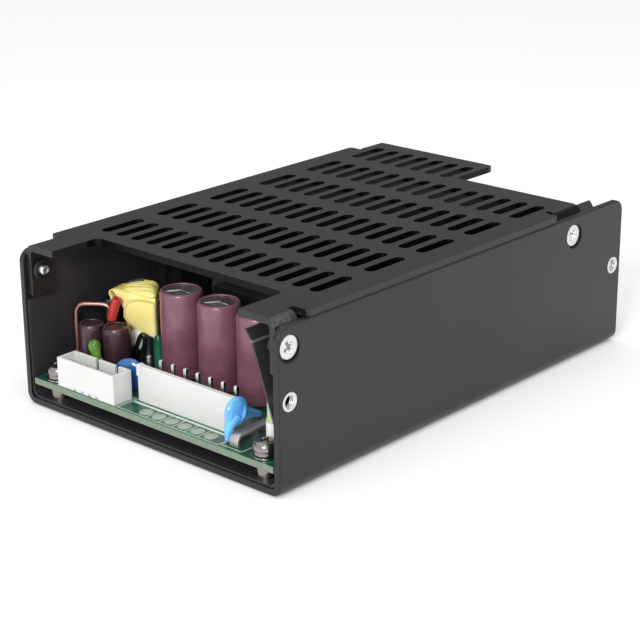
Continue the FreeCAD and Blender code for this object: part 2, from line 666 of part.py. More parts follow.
# The cover: slotted plate, front notch, rear cut-out and four tabs bent down inside the walls.
cover = body("cover")
front_tab_end = f"({tab_front} + front_tab_length)"
right_tab_start = f"({main_rear} - rear_tab_length)"
tongue_tab_start = f"({tongue_rear} - tongue_tab_length)"
relief_end = f"({bend_line} - relief_depth)"
notch_rear = f"({tab_front} + notch_depth)"
notch_left = f"({bend_line} - left_finger_width)"
notch_right = f"({bend_line} - right_finger_width)"
plate = polygon(sketch(cover, "plate", "XY_Plane", wall_top), [
    (f"-{bend_line}", tab_front),
    (f"-{notch_left}", tab_front),
    (f"-{notch_left}", notch_rear),
    (notch_right, notch_rear),
    (notch_right, tab_front),
    (bend_line, tab_front),
    (bend_line, front_tab_end),
    (relief_end, front_tab_end),
    (relief_end, f"{front_tab_end} + relief_width"),
    (cover_edge, f"{front_tab_end} + relief_width"),
    (cover_edge, f"{right_tab_start} - relief_width"),
    (relief_end, f"{right_tab_start} - relief_width"),
    (relief_end, right_tab_start),
    (bend_line, right_tab_start),
    (bend_line, main_rear),
    ("tongue_edge", main_rear),
    ("tongue_edge", tongue_rear),
    (f"-{bend_line}", tongue_rear),
    (f"-{bend_line}", tongue_tab_start),
    (f"-{relief_end}", tongue_tab_start),
    (f"-{relief_end}", f"{tongue_tab_start} - relief_width"),
    (f"-{cover_edge}", f"{tongue_tab_start} - relief_width"),
    (f"-{cover_edge}", f"{front_tab_end} + relief_width"),
    (f"-{relief_end}", f"{front_tab_end} + relief_width"),
    (f"-{relief_end}", front_tab_end),
    (f"-{bend_line}", front_tab_end),
])
plate_pad = pad(cover, plate, "cover_sheet")
notch_round = fillet(
    cover, plate_pad, "notch_radius",
    lambda box: along(box, "Z") and near(box.YMin, value(notch_rear)),
)
corner_round = fillet(
    cover, notch_round, "cover_corner_radius",
    lambda box: along(box, "Z") and (
        near(box.YMin, value(tongue_rear)) and near(box.XMin, value("tongue_edge"))
        or near(abs(box.XMin), value(cover_edge))
        or near(box.YMin, value(main_rear)) and near(box.XMin, value("tongue_edge"))
    ),
)


def tab(name, side, start, length):
    """One tab: from the bend line over the bend and down beside the wall."""
    drawing = polygon(sketch(cover, name, "XZ_Plane", f"-({start} + {length})"), [
        (f"{side}{bend_line}", "height"),
        (f"{side}{bend_line}", wall_top),
        (f"{side}{tab_inside}", wall_top),
        (f"{side}{tab_inside}", "height - tab_drop"),
        (f"{side}{tab_face}", "height - tab_drop"),
        (f"{side}{tab_face}", "height"),
    ])
    return pad(cover, drawing, length)


tab("tab_front_right", "", tab_front, "front_tab_length")
tab("tab_front_left", "-", tab_front, "front_tab_length")
tab("tab_rear_right", "", right_tab_start, "rear_tab_length")
all_tabs = tab("tab_rear_left", "-", tongue_tab_start, "tongue_tab_length")
tab_bends = fillet(
    cover, all_tabs, "tab_bend_radius",
    lambda box: along(box, "Y") and near(box.ZMin, value("height"))
    and near(abs(box.XMin), value(tab_face)),
)
tab_insides = fillet(
    cover, tab_bends, "tab_bend_radius - cover_sheet",
    lambda box: along(box, "Y") and near(box.ZMin, value(wall_top))
    and near(abs(box.XMin), value(tab_inside)),
)
fillet(
    cover, tab_insides, "cover_corner_radius",
    lambda box: along(box, "X") and near(box.ZMin, value("height - tab_drop")),
)

# Ventilation slots: rows that fill the plate, and one shorter row on the tongue.
slot_columns = f"(floor((2 * {cover_edge} - 2 * slot_side_margin - slot_width) / slot_pitch) + 1)"
slot_rows = (
    f"floor(({main_rear} - {notch_rear} - 2 * slot_end_margin + slot_bridge)"
    " / (slot_length + slot_bridge))"
)
first_slot_x = f"(-slot_pitch * ({slot_columns} - 1) / 2)"
first_row_y = f"({notch_rear} + slot_end_margin + slot_length / 2)"
tongue_row_y = f"({tongue_rear} - tongue_slot_back - slot_length / 2)"
tongue_slots = (
    f"(floor((tongue_edge - {first_slot_x} - slot_width / 2 - cover_corner_radius)"
    " / slot_pitch) + 1)"
)
rows = obround(
    sketch(cover, "row_slot", "XY_Plane", "height"),
    first_slot_x, first_row_y, "slot_width", "slot_length",
)
row_cut = pocket(cover, rows, "cover_sheet")
pattern(
    cover, row_cut, (rows, ["H_Axis"]), "slot_pitch", slot_columns,
    (rows, ["V_Axis"]), "slot_length + slot_bridge", slot_rows,
)
tongue = obround(
    sketch(cover, "tongue_slot", "XY_Plane", "height"),
    first_slot_x, tongue_row_y, "slot_width", "slot_length",
)
tongue_cut = pocket(cover, tongue, "cover_sheet")
pattern(cover, tongue_cut, (tongue, ["H_Axis"]), "slot_pitch", tongue_slots)

# Holes in the tabs for the clinch nuts' threads.
nut_places = (
    ("", front_screw), ("-", front_screw), ("", right_rear_screw), ("-", left_rear_screw),
)
right_nuts = sketch(cover, "right_nut_holes", "YZ_Plane", tab_face)
left_nuts = sketch(cover, "left_nut_holes", "YZ_Plane", f"-{tab_inside}")
circle(right_nuts, front_screw, screw_height, "screw_hole_radius")
circle(right_nuts, right_rear_screw, screw_height, "screw_hole_radius")
circle(left_nuts, front_screw, screw_height, "screw_hole_radius")
circle(left_nuts, left_rear_screw, screw_height, "screw_hole_radius")
pocket(cover, right_nuts, "cover_sheet")
pocket(cover, left_nuts, "cover_sheet")
node("cover", cover)

# Fasteners of the cover: clinch nuts inboard of the tabs and countersunk screws in the walls.
nut_blank = rod("nut_blank", "clinch_nut_radius", "clinch_nut_height")
nut_bore = rod("nut_bore", "screw_core_radius", "3 * clinch_nut_height", z="-clinch_nut_height")
clinch_nut = cut("clinch_nut", nut_blank, nut_bore)
node("cover_clinch_nuts", copies("cover_clinch_nuts", clinch_nut, [
    (side + tab_inside, y, screw_height, along_minus_x if side == "" else along_x)
    for side, y in nut_places
]))
head_recess = "(countersink_radius - cover_head_radius - seat_play)"
head_depth = f"(cover_head_radius - {shank_radius})"
shank_length = f"(channel_sheet + tab_play + cover_sheet + clinch_nut_height - {head_recess})"
screw_head = cone("cover_screw_head", shank_radius, "cover_head_radius", head_depth,
                  z=f"-{head_depth}")
screw_shank = rod("cover_screw_shank", shank_radius, f"{shank_length} - {head_depth}",
                  z=f"-{shank_length}")
cover_screw = fuse("cover_screw", screw_head, screw_shank)
node("cover_screws", copies("cover_screws", cover_screw, [
    (f"{side}(width / 2 - {head_recess})", y, screw_height,
     along_x if side == "" else along_minus_x)
    for side, y in nut_places
]))

# Threaded inserts in the walls, flush on both faces.
insert_blank = rod("insert_blank", "insert_radius", "channel_sheet")
insert_bore = rod("insert_bore", "screw_core_radius", "3 * channel_sheet", z="-channel_sheet")
side_insert = cut("side_insert", insert_blank, insert_bore)
node("side_inserts", copies("side_inserts", side_insert, [
    (side + inner_wall, y, "insert_height", along_x if side == "" else along_minus_x)
    for y in (insert_front, insert_rear) for side in ("", "-")
]))

# Insulation film: over the floor, up the left wall, and leaning inward on the right.
film = body("insulation_film")
film_floor = f"({floor} + film_thickness)"
film_out = inner_wall
film_in = f"({inner_wall} - film_thickness)"
film_profile = polygon(sketch(film, "film_profile", "XZ_Plane"), [
    (f"-{film_out}", "bend_radius"),
    (f"-({film_out} - bend_radius + channel_sheet)", floor),
    (f"{film_out} - bend_radius + channel_sheet", floor),
    (film_out, "bend_radius"),
    (film_out, "film_foot_height"),
    (f"{film_out} - film_knee_inset", "film_knee_height"),
    (f"{film_out} - film_crease_inset", "height - film_crease_drop"),
    (f"{film_out} - film_edge_inset", "height - film_right_drop"),
    (f"{film_in} - film_edge_inset", "height - film_right_drop"),
    (f"{film_in} - film_crease_inset", "height - film_crease_drop"),
    (f"{film_in} - film_knee_inset", "film_knee_height"),
    (film_in, "film_foot_height"),
    (film_in, "bend_radius + film_thickness / 2"),
    (f"{film_in} - bend_radius + channel_sheet", film_floor),
    (f"-({film_in} - bend_radius + channel_sheet)", film_floor),
    (f"-{film_in}", "bend_radius + film_thickness / 2"),
    (f"-{film_in}", "height - film_left_drop"),
    (f"-{film_out}", "height - film_left_drop"),
])
pad(film, film_profile, "length - 2 * film_end_inset", both_ways=True)
film_cuts = sketch(film, "film_tab_cuts", "YZ_Plane", f"-{film_in}")
film_cut_bottom = "height - tab_drop - film_tab_play"
rectangle(film_cuts, f"{front} - 1", film_cut_bottom,
          f"{front_tab_end} + film_tab_play", "height")
rectangle(film_cuts, f"{tongue_tab_start} - film_tab_play", film_cut_bottom,
          f"{rear} + 1", "height")
pocket(film, film_cuts, "film_thickness")
film_feet = sketch(film, "film_standoff_holes", "XY_Plane")
for x, y in board_screw_places:
    circle(film_feet, x, y, "standoff_radius + pin_play")
pocket(film, film_feet, f"2 * {film_floor}", both_ways=True)
node("insulation_film", film)

# Circuit board on four clinched standoffs.
board = body("circuit_board")
rectangle_of_board = rectangle(
    sketch(board, "board_outline", "XY_Plane", "board_bottom"),
    f"-{board_edge}", board_front, board_edge, board_rear,
)
pad(board, rectangle_of_board, "board_thickness")
board_holes = sketch(board, "board_holes", "XY_Plane", board_top)
for x, y in board_screw_places:
    circle(board_holes, x, y, "screw_hole_radius")
pocket(board, board_holes, "board_thickness")
node("circuit_board", board)

standoff_foot = rod("standoff_foot", "standoff_foot_radius", floor)
standoff_post = rod("standoff_post", "standoff_radius", f"board_bottom - {floor}", z=floor)
standoff_bore = rod("standoff_bore", "screw_core_radius", "board_bottom",
                    z=f"{floor} / 2")
standoff = cut("standoff", fuse("standoff_blank", standoff_foot, standoff_post), standoff_bore)
node("board_standoffs", copies("board_standoffs", standoff, [
    (x, y, "0", None) for x, y in board_screw_places
]))


def ring(name, outer, inner, thickness):
    blank = rod(name + "_blank", outer, thickness)
    hole = rod(name + "_hole", inner, f"3 * {thickness}", z=f"-{thickness}")
    return cut(name, blank, hole)


flat_washer = ring("flat_washer", "washer_radius", "screw_hole_radius", "washer_thickness")
node("board_flat_washers", copies("board_flat_washers", flat_washer, [
    (x, y, board_top, None) for x, y in board_screw_places
]))
spring_washer = ring("spring_washer", "spring_washer_radius", "screw_hole_radius",
                     "spring_washer_thickness")
node("board_spring_washers", copies("board_spring_washers", spring_washer, [
    (x, y, f"{board_top} + washer_thickness", None) for x, y in board_screw_places
]))
pan_head = turned("pan_head", [
    ("0", "-board_screw_length"),
    (shank_radius, "-board_screw_length"),
    (shank_radius, "0"),
    ("pan_head_radius", "0"),
    ("pan_head_radius", "pan_head_height * 0.55"),
    ("pan_head_radius * 0.86", "pan_head_height * 0.86"),
    ("pan_head_radius * 0.55", "pan_head_height"),
    ("0", "pan_head_height"),
])
node("board_screws", copies("board_screws", pan_head, [
    (x, y, f"{board_top} + washer_thickness + spring_washer_thickness", None)
    for x, y in board_screw_places
]))

# Output header: a base, a tall locking wall in front and one row of square pins.
output_face = f"({front} + output_wall_y)"
output_row = f"({front} + output_pin_y)"
output = body("output_header")
output_profile = polygon(sketch(output, "output_profile", "YZ_Plane", output_start), [
    (output_face, board_top),
    (f"{output_face} + output_base_depth", board_top),
    (f"{output_face} + output_base_depth", f"{board_top} + output_base_height"),
    (f"{output_face} + output_wall_thickness", f"{board_top} + output_base_height"),
    (f"{output_face} + output_wall_thickness", f"{board_top} + output_wall_height"),
    (output_face, f"{board_top} + output_wall_height"),
])
pad(output, output_profile, output_length)


def pin_holes(owner, name, first_x, row_y, width, pitch, count, top):
    """Square holes for a row of pins."""
    half = f"({width} / 2 + pin_play)"
    drawing = rectangle(
        sketch(owner, name, "XY_Plane", top),
        f"{first_x} - {half}", f"{row_y} - {half}", f"{first_x} + {half}", f"{row_y} + {half}",
    )
    hole = pocket(owner, drawing, f"{top} - {board_top}")
    return pattern(owner, hole, (drawing, ["H_Axis"]), pitch, count)


pin_holes(output, "output_hole", "output_first_x", output_row, "output_pin_width",
          "output_pitch", "output_pins", f"({board_top} + output_base_height)")
node("output_header", output)


def square_pin(name, width, height):
    """A square pin with a bevelled tip, standing on its own origin."""
    owner = body(name)
    half = f"({width} / 2)"
    drawing = rectangle(sketch(owner, name + "_section", "XY_Plane"),
                        f"-{half}", f"-{half}", half, half)
    stem = pad(owner, drawing, height)
    top = value(height)
    chamfer(owner, stem, f"{width} / 4", lambda box: near(box.ZMin, top) and near(box.ZMax, top))
    return owner


def pin_row(name, pin, first_x, row_y, pitch, count):
    return node(name, copies(name, pin, [
        (f"{first_x} + {i} * {pitch}", row_y, board_top, None)
        for i in range(round(value(count)))
    ]))


output_pin = square_pin("output_pin", "output_pin_width", "output_pin_top")
pin_row("output_header_pins", output_pin, "output_first_x", output_row,
        "output_pitch", "output_pins")

# Signal header: a shrouded housing with notches at the back and drain notches in front.
signal_start = f"(-{board_edge} + signal_side)"
signal_first_x = f"({signal_start} + signal_end_margin)"
signal_length = "((signal_pins - 1) * signal_pitch + 2 * signal_end_margin)"
signal_face = f"({front} + signal_front_y)"
signal_back = f"({signal_face} + signal_depth)"
signal_row = f"({signal_face} + signal_depth / 2)"
signal_top = f"({board_top} + signal_height)"
signal = body("signal_header")
pad(signal, rectangle(
    sketch(signal, "signal_outline", "XY_Plane", board_top),
    signal_start, signal_face, f"{signal_start} + {signal_length}", signal_back,
), "signal_height")
pocket(signal, rectangle(
    sketch(signal, "signal_cavity", "XY_Plane", signal_top),
    f"{signal_start} + signal_wall", f"{signal_face} + signal_wall",
    f"{signal_start} + {signal_length} - signal_wall", f"{signal_back} - signal_wall",
), "signal_height - signal_floor")
pin_holes(signal, "signal_hole", signal_first_x, signal_row, "signal_pin_width",
          "signal_pitch", "signal_pins", f"({board_top} + signal_floor)")
back_notches = sketch(signal, "signal_back_notches", "XZ_Plane", f"-{signal_back}")
for x in (f"{signal_first_x} + signal_notch_left", f"{signal_first_x} + signal_notch_right"):
    rectangle(back_notches, f"{x} - signal_notch / 2",
              f"{board_top} + signal_floor + signal_notch_rise",
              f"{x} + signal_notch / 2", f"{signal_top} + 1")
pocket(signal, back_notches, "2 * signal_wall", both_ways=True)
drain = rectangle(
    sketch(signal, "signal_drain", "XZ_Plane", f"-{signal_face}"),
    f"{signal_first_x} + 1.5 * signal_pitch - drain_width / 2", f"{board_top} - drain_height",
    f"{signal_first_x} + 1.5 * signal_pitch + drain_width / 2", f"{board_top} + drain_height",
)
drain_cut = pocket(signal, drain, "signal_wall", both_ways=True)
pattern(signal, drain_cut, (drain, ["H_Axis"]), "signal_pitch", "drain_count")
node("signal_header", signal)
signal_pin = square_pin("signal_pin", "signal_pin_width", "signal_pin_top")
pin_row("signal_header_pins", signal_pin, signal_first_x, signal_row,
        "signal_pitch", "signal_pins")


# Electrolytic capacitors: a beaded can in a shrunk sleeve that folds over its rim.
def can(name, radius, height):
    inside = f"({radius} - sleeve_thickness)"
    return turned(name, [
        ("0", "0"),
        (f"{inside} - can_foot", "0"),
        (inside, "can_foot"),
        (inside, "bead_bottom"),
        (f"{inside} - bead_depth", "bead_middle"),
        (inside, "bead_top"),
        (inside, f"{height} - rim_height"),
        (f"{inside} - rim_height", f"{height} - rim_round"),
        ("0", f"{height} - rim_round"),
    ])


def sleeve(name, radius, height):
    inside = f"({radius} - sleeve_thickness)"
    return turned(name, [
        (inside, "can_foot"),
        (radius, "can_foot"),
        (radius, "bead_bottom"),
        (f"{radius} - bead_depth", "bead_middle"),
        (radius, "bead_top"),
        (radius, f"{height} - rim_height"),
        (f"{radius} - rim_round", f"{height} - rim_round"),
        (f"{radius} - sleeve_fold", height),
        (f"{inside} - rim_height", height),
        (f"{inside} - rim_height", f"{height} - rim_round"),
        (inside, f"{height} - rim_height"),
        (inside, "bead_top"),
        (f"{inside} - bead_depth", "bead_middle"),
        (inside, "bead_bottom"),
    ])


capacitor_first_x = f"({aux_right} + capacitor_gap + capacitor_radius)"
capacitor_places = [
    (f"{capacitor_first_x} + {i} * capacitor_pitch", f"{front} + capacitor_y", board_top, None)
    for i in range(round(value("capacitor_count")))
]
output_can = can("output_can", "capacitor_radius", "capacitor_height")
output_sleeve = sleeve("output_sleeve", "capacitor_radius", "capacitor_height")
node("output_capacitor_cans", copies("output_capacitor_cans", output_can, capacitor_places))
node("output_capacitor_sleeves",
     copies("output_capacitor_sleeves", output_sleeve, capacitor_places))

bypass_places = (
    ("bypass_a_radius", f"-{board_edge} + bypass_a_side", f"{front} + bypass_a_y"),
    ("bypass_b_radius", f"-{board_edge} + bypass_b_side", f"{front} + bypass_b_y"),
)
bypass_cans = []
bypass_sleeves = []
for letter, (radius, x, y) in zip("ab", bypass_places):
    bypass_cans.append(place(can(f"bypass_can_{letter}", radius, "bypass_height"), x, y, board_top))
    bypass_sleeves.append(
        place(sleeve(f"bypass_sleeve_{letter}", radius, "bypass_height"), x, y, board_top)
    )
node("bypass_capacitor_cans", group("bypass_capacitor_cans", *bypass_cans))
node("bypass_capacitor_sleeves", group("bypass_capacitor_sleeves", *bypass_sleeves))

# The small dark capacitor behind the copper link is one sealed piece.
node("start_capacitor", place(turned("start_can", [
    ("0", "0"),
    ("start_radius", "0"),
    ("start_radius", "start_height - rim_round"),
    ("start_radius - rim_round", "start_height"),
    ("0", "start_height"),
]), f"-{board_edge} + start_side", f"{front} + start_y", board_top))

primary_x = f"(-{board_edge} + primary_heatsink_side)"
bulk_x = f"({primary_x} + heatsink_thickness + device_thickness + bulk_gap + bulk_radius)"
bulk_place = (bulk_x, bulk_y, board_top)
node("bulk_capacitor_can", place(can("bulk_can", "bulk_radius", "bulk_height"), *bulk_place))
node("bulk_capacitor_sleeve",
     place(sleeve("bulk_sleeve", "bulk_radius", "bulk_height"), *bulk_place))


# Indicator lamps: a domed lens on a foot ring, above its leads or on a spacer.
def lens(name):
    return turned(name, [
        ("0", "0"),
        ("led_flange", "0"),
        ("led_flange", "led_flange_height"),
        ("led_radius", "led_flange_height"),
        ("led_radius", "led_height - led_radius"),
        ("led_radius * 0.924", "led_height - led_radius * 0.617"),
        ("led_radius * 0.707", "led_height - led_radius * 0.293"),
        ("led_radius * 0.383", "led_height - led_radius * 0.076"),
        ("0", "led_height"),
    ])


signal_lamp_place = (
    f"-{board_edge} + signal_led_side", f"{signal_back} + led_flange + signal_led_gap",
    f"{board_top} + signal_led_rise",
)
node("signal_lamp", place(lens("signal_lens"), *signal_lamp_place))
node("signal_lamp_leads", place(group("signal_lamp_leads", *[
    rod(f"signal_lamp_lead_{i}", "lead_radius", "signal_led_rise", x=x, z="-signal_led_rise")
    for i, x in enumerate(("-led_lead_reach", "led_lead_reach"))
]), *signal_lamp_place))
output_lamp_place = (f"{board_edge} - output_led_side", f"{front} + output_led_y")
node("output_lamp", place(lens("output_lens"), *output_lamp_place, f"{board_top} + spacer_height"))
node("lamp_spacer", rod("lamp_spacer", "led_flange", "spacer_height", *output_lamp_place, board_top))


# Disc capacitors: dipped lens-shaped bodies standing on two leads.
def disc(name, radius, thickness):
    """A lens turned about its own Z."""
    return turned(name, [
        ("0", f"-{thickness} / 2"),
        (f"{radius} * 0.6", f"-{thickness} / 2"),
        (f"{radius} * 0.88", f"-{thickness} * 0.34"),
        (radius, "0"),
        (f"{radius} * 0.88", f"{thickness} * 0.34"),
        (f"{radius} * 0.6", f"{thickness} / 2"),
        ("0", f"{thickness} / 2"),
    ])


def standing(angle_about_z, lean):
    """Turns a disc's axis level, to the given heading, then leans it."""
    heading = FreeCAD.Rotation(FreeCAD.Vector(0, 0, 1), angle_about_z)
    tilt = FreeCAD.Rotation(FreeCAD.Vector(1, 0, 0), 90 + lean)
    return heading * tilt


def wire(name, points, radius, bend_expression):
    """A round wire along straight runs joined by tangent arcs."""
    bend = value(bend_expression)
    corners = [FreeCAD.Vector(*(value(item) for item in point)) for point in points]
    pieces = []
    start = corners[0]
    for i in range(1, len(corners) - 1):
        before = (corners[i - 1] - corners[i]).normalize()
        after = (corners[i + 1] - corners[i]).normalize()
        half = before.getAngle(after) / 2
        reach = bend / math.tan(half)
        first = corners[i] + before * reach
        last = corners[i] + after * reach
        middle_way = (before + after).normalize()
        middle = corners[i] + middle_way * (bend / math.sin(half) - bend)
        pieces.append(Part.makeLine(start, first))
        pieces.append(Part.Arc(first, middle, last).toShape())
        start = last
    pieces.append(Part.makeLine(start, corners[-1]))
    path = Part.Wire(pieces)
    section = Part.Wire(Part.makeCircle(value(radius), corners[0], corners[1] - corners[0]))
    thing = doc.addObject("Part::Feature", name)
    thing.Shape = path.makePipeShell([section], True, False)
    return thing


bright_rise = "(strap_height + disc_strap_gap)"
bright_x = f"({output_end} + disc_gap)"
bright_y = f"({front} + disc_y)"
bright_centre = f"({board_top} + {bright_rise} + disc_radius)"
leg_reach = "(disc_lead_reach - lead_radius)"
leg_rise = (
    f"({bright_rise} + disc_radius - sqrt(disc_radius ^ 2 - {leg_reach} ^ 2) - disc_lead_gap)"
)
tail_length = "sqrt(disc_tail_reach ^ 2 + disc_tail_drop ^ 2)"
tail_start = f"((disc_radius + disc_lead_gap) / {tail_length})"
tail_y = f"{bright_y} + disc_tail_reach"
node("bright_disc_capacitor", place(
    disc("bright_disc", "disc_radius", "disc_thickness"),
    bright_x, bright_y, bright_centre, standing(90, 0),
))
node("bright_disc_leads", group(
    "bright_disc_leads",
    rod("bright_disc_front_lead", "lead_radius", leg_rise,
        bright_x, f"{bright_y} - disc_lead_reach", board_top),
    wire("bright_disc_rear_lead", [
        (bright_x, f"{bright_y} + {tail_start} * disc_tail_reach",
         f"{bright_centre} - {tail_start} * disc_tail_drop"),
        (bright_x, tail_y, f"{bright_centre} - disc_tail_drop"),
        (bright_x, tail_y, board_top),
    ], "lead_radius", "disc_tail_bend"),
))


def standing_disc(name, radius, thickness, rise):
    """A dipped disc whose coating runs down over its two leads."""
    lens = place(disc(name + "_lens", radius, thickness), "0", "0", f"{rise} + {radius}",
                 standing(0, 0))
    legs = [
        rod(f"{name}_leg_{i}", "2 * lead_radius", f"{rise} + {radius} / 2", x=f"{side}{radius} / 2")
        for i, side in enumerate(("-", ""))
    ]
    return fuse(name, lens, *legs)


dark_disc = standing_disc("dark_disc", "small_disc_radius", "small_disc_thickness",
                          "small_disc_rise")
node("dark_disc_capacitor", copies("dark_disc_capacitor", dark_disc, [
    (f"{output_start} - small_disc_side", f"{front} + small_disc_y", board_top, None),
]))

# Tinned strap: a flat bridge over the board beside the output header.
strap = body("output_strap")
strap_front = f"({front} + strap_y)"
strap_rear = f"({strap_front} + strap_length)"
strap_top = f"({board_top} + strap_height)"
strap_profile = polygon(sketch(strap, "strap_profile", "YZ_Plane", f"{bright_x} + strap_offset"), [
    (strap_front, board_top),
    (f"{strap_front} + strap_thickness", board_top),
    (f"{strap_front} + strap_thickness", f"{strap_top} - strap_thickness"),
    (f"{strap_rear} - strap_thickness", f"{strap_top} - strap_thickness"),
    (f"{strap_rear} - strap_thickness", board_top),
    (strap_rear, board_top),
    (strap_rear, strap_top),
    (strap_front, strap_top),
])
strap_pad = pad(strap, strap_profile, "strap_width", both_ways=True)
fillet(
    strap, strap_pad, "1.6 * strap_thickness",
    lambda box: along(box, "X") and near(box.ZMin, value(strap_top)),
)
node("output_strap", strap)

# Taped transformer: a bobbin foot, a ferrite block and the taped winding around it.
aux_base = f"({board_top} + bobbin_height)"
aux = body("auxiliary_winding")
aux_pad = pad(aux, rectangle(
    sketch(aux, "aux_outline", "XY_Plane", aux_base),
    aux_left, aux_front, f"{aux_left} + aux_width", f"{aux_front} + aux_depth",
), "aux_height")
fillet(
    aux, aux_pad, "aux_corner",
    lambda box: along(box, "Z") and near(box.YMin, value(aux_front))
    or along(box, "Y") and near(box.ZMax, value(f"{aux_base} + aux_height")),
)
pocket(aux, rectangle(
    sketch(aux, "aux_core_room", "XY_Plane", f"{aux_base} + aux_height - aux_tape"),
    f"{aux_left} + aux_tape", f"{aux_front} + aux_tape",
    f"{aux_right} - aux_tape", f"{aux_front} + aux_depth - aux_tape",
), "aux_height - aux_tape")
node("auxiliary_winding", aux)
node("auxiliary_core", block(
    "auxiliary_core", f"{aux_left} + aux_tape", f"{aux_front} + aux_tape", aux_base,
    "aux_width - 2 * aux_tape", "aux_depth - 2 * aux_tape", "aux_height - aux_tape",
))
node("auxiliary_bobbin", block(
    "auxiliary_bobbin", f"{aux_left} + bobbin_inset", f"{aux_front} + bobbin_inset", board_top,
    "aux_width - 2 * bobbin_inset", "aux_depth - 2 * bobbin_inset", "bobbin_height",
))

# Bare copper link over the left bypass capacitor, and the winding's lead in its red tube.
link_top = f"({board_top} + link_height)"
link_first_x = f"(-{board_edge} + link_side)"
link_last_x = f"({aux_left} - link_aux_gap)"
link_first_y = f"({front} + link_y)"
link_last_y = f"({link_first_y} + link_reach_y)"
node("copper_link", wire("copper_link", [
    (link_first_x, link_first_y, board_top),
    (link_first_x, link_first_y, f"{link_top} - link_shoulder"),
    (f"{link_first_x} + link_knee_x", f"{link_first_y} + link_knee_y", link_top),
    (link_last_x, link_last_y, link_top),
    (link_last_x, link_last_y, board_top),
], "link_radius", "link_bend"))
lead_x = f"({aux_left} + lead_inset)"
lead_front = f"({aux_front} - lead_y)"
lead_top = f"({board_top} + lead_high_height)"
lead_low = (lead_x, lead_front, f"{board_top} + lead_low_height")
lead_high = (f"{lead_x} + lead_lean", f"{lead_front} + lead_lean_y", lead_top)
node("winding_lead", wire("winding_lead", [
    (lead_x, lead_front, board_top),
    lead_low,
    lead_high,
    (f"{lead_x} + lead_lean + lead_reach", f"{aux_front} - lead_end_gap", lead_top),
], "lead_wire_radius", "lead_bend"))
tube_start = FreeCAD.Vector(*(value(item) for item in lead_low))
tube_end = FreeCAD.Vector(*(value(item) for item in lead_high))
tube_way = tube_end - tube_start
tube_line = tube_way.normalize()
tube_foot = tube_start + tube_line * value("tube_setback")
tube_length = value("tube_length")
tube_outer = Part.makeCylinder(value("tube_radius"), tube_length, tube_foot, tube_line)
tube_inner = Part.makeCylinder(value("link_radius"), tube_length, tube_foot, tube_line)
tube = doc.addObject("Part::Feature", "lead_tube")
tube.Shape = tube_outer.cut(tube_inner)
node("lead_tube", tube)

# Power transformer: a double window core, the winding on its middle leg and a bobbin foot.
output_choke_x = f"({board_edge} - output_choke_side)"
core_x = f"({output_choke_x} - choke_radius - core_choke_gap - core_width / 2)"
core_base = f"({board_top} + bobbin_height)"
core_left = f"({core_x} - core_width / 2)"
window_width = "(core_width / 2 - 2 * core_leg)"
window_height = "(core_height - 2 * core_leg)"
core_block = block("core_block", core_left, core_front, core_base,
                   "core_width", "core_depth", "core_height")
left_window = block("left_window", f"{core_left} + core_leg", f"{core_front} - 1",
                    f"{core_base} + core_leg", window_width, "core_depth + 2", window_height)
right_window = block("right_window", f"{core_x} + core_leg", f"{core_front} - 1",
                     f"{core_base} + core_leg", window_width, "core_depth + 2", window_height)
node("power_transformer_core", cut("power_transformer_core", core_block, left_window, right_window))
winding_block = block(
    "winding_block", f"{core_left} + core_leg + winding_gap", f"{core_front} - winding_overhang",
    f"{core_base} + core_leg + winding_gap", "core_width - 2 * (core_leg + winding_gap)",
    "core_depth + 2 * winding_overhang", f"{window_height} - 2 * winding_gap",
)
winding_room = block(
    "winding_room", f"{core_x} - core_leg - winding_play", f"{core_front} - winding_play",
    core_base, "2 * (core_leg + winding_play)", "core_depth + 2 * winding_play", "core_height",
)
node("power_transformer_winding", cut("power_transformer_winding", winding_block, winding_room))
bobbin_plate = block("bobbin_plate", core_left, f"{core_front} - winding_overhang", board_top,
                     "core_width", "core_depth + 2 * winding_overhang", "bobbin_height")
bobbin_ends = [
    block(f"bobbin_end_{i}", f"{core_left} + core_leg", y, core_base,
          "core_width - 2 * core_leg", "winding_overhang - bobbin_end_gap",
          "core_leg + winding_gap")
    for i, y in enumerate((f"{core_front} - winding_overhang",
                           f"{core_front} + core_depth + bobbin_end_gap"))
]
node("power_transformer_bobbin", fuse("power_transformer_bobbin", bobbin_plate, *bobbin_ends))


# Heatsinks: an upright plate with a foot flange, and the devices clamped to its face.
def heatsink(name, x, y, plate_length, foot_side):
    owner = body(name)
    inner, outer = (x, f"{x} + heatsink_thickness")
    corner = f"{outer} + heatsink_flange" if foot_side > 0 else f"{inner} - heatsink_flange"
    wall = outer if foot_side > 0 else inner
    back = inner if foot_side > 0 else outer
    drawing = polygon(sketch(owner, name + "_profile", "XZ_Plane", f"-({y} + {plate_length})"), [
        (back, board_top),
        (corner, board_top),
        (corner, f"{board_top} + heatsink_thickness / 2"),
        (wall, f"{board_top} + heatsink_thickness / 2"),
        (wall, f"{board_top} + heatsink_height"),
        (back, f"{board_top} + heatsink_height"),
    ])
    pad(owner, drawing, plate_length)
    return node(name, owner)


primary_y = f"({core_front} - primary_heatsink_lead)"
heatsink("primary_heatsink", primary_x, primary_y, "primary_heatsink_length", 1)
secondary_x = f"({board_edge} - secondary_heatsink_side)"
secondary_y = f"({core_front} + secondary_heatsink_setback)"
heatsink("secondary_heatsink", secondary_x, secondary_y, "secondary_heatsink_length", -1)
device_base = f"({board_top} + heatsink_thickness / 2 + device_rise)"


def power_device(name):
    """A moulded case on three flat leads that reach the board."""
    case = block(name + "_case", "0", "-device_width / 2", "0",
                 "device_thickness", "device_width", "device_height")
    legs = [
        block(f"{name}_leg_{i}", "device_thickness - device_lead_inset",
              f"{offset} - device_lead_width / 2", f"{board_top} - {device_base}",
              "device_lead_thickness", "device_lead_width", f"{device_base} - {board_top}")
        for i, offset in enumerate(("-device_lead_pitch", "0", "device_lead_pitch"))
    ]
    return fuse(name, case, *legs)


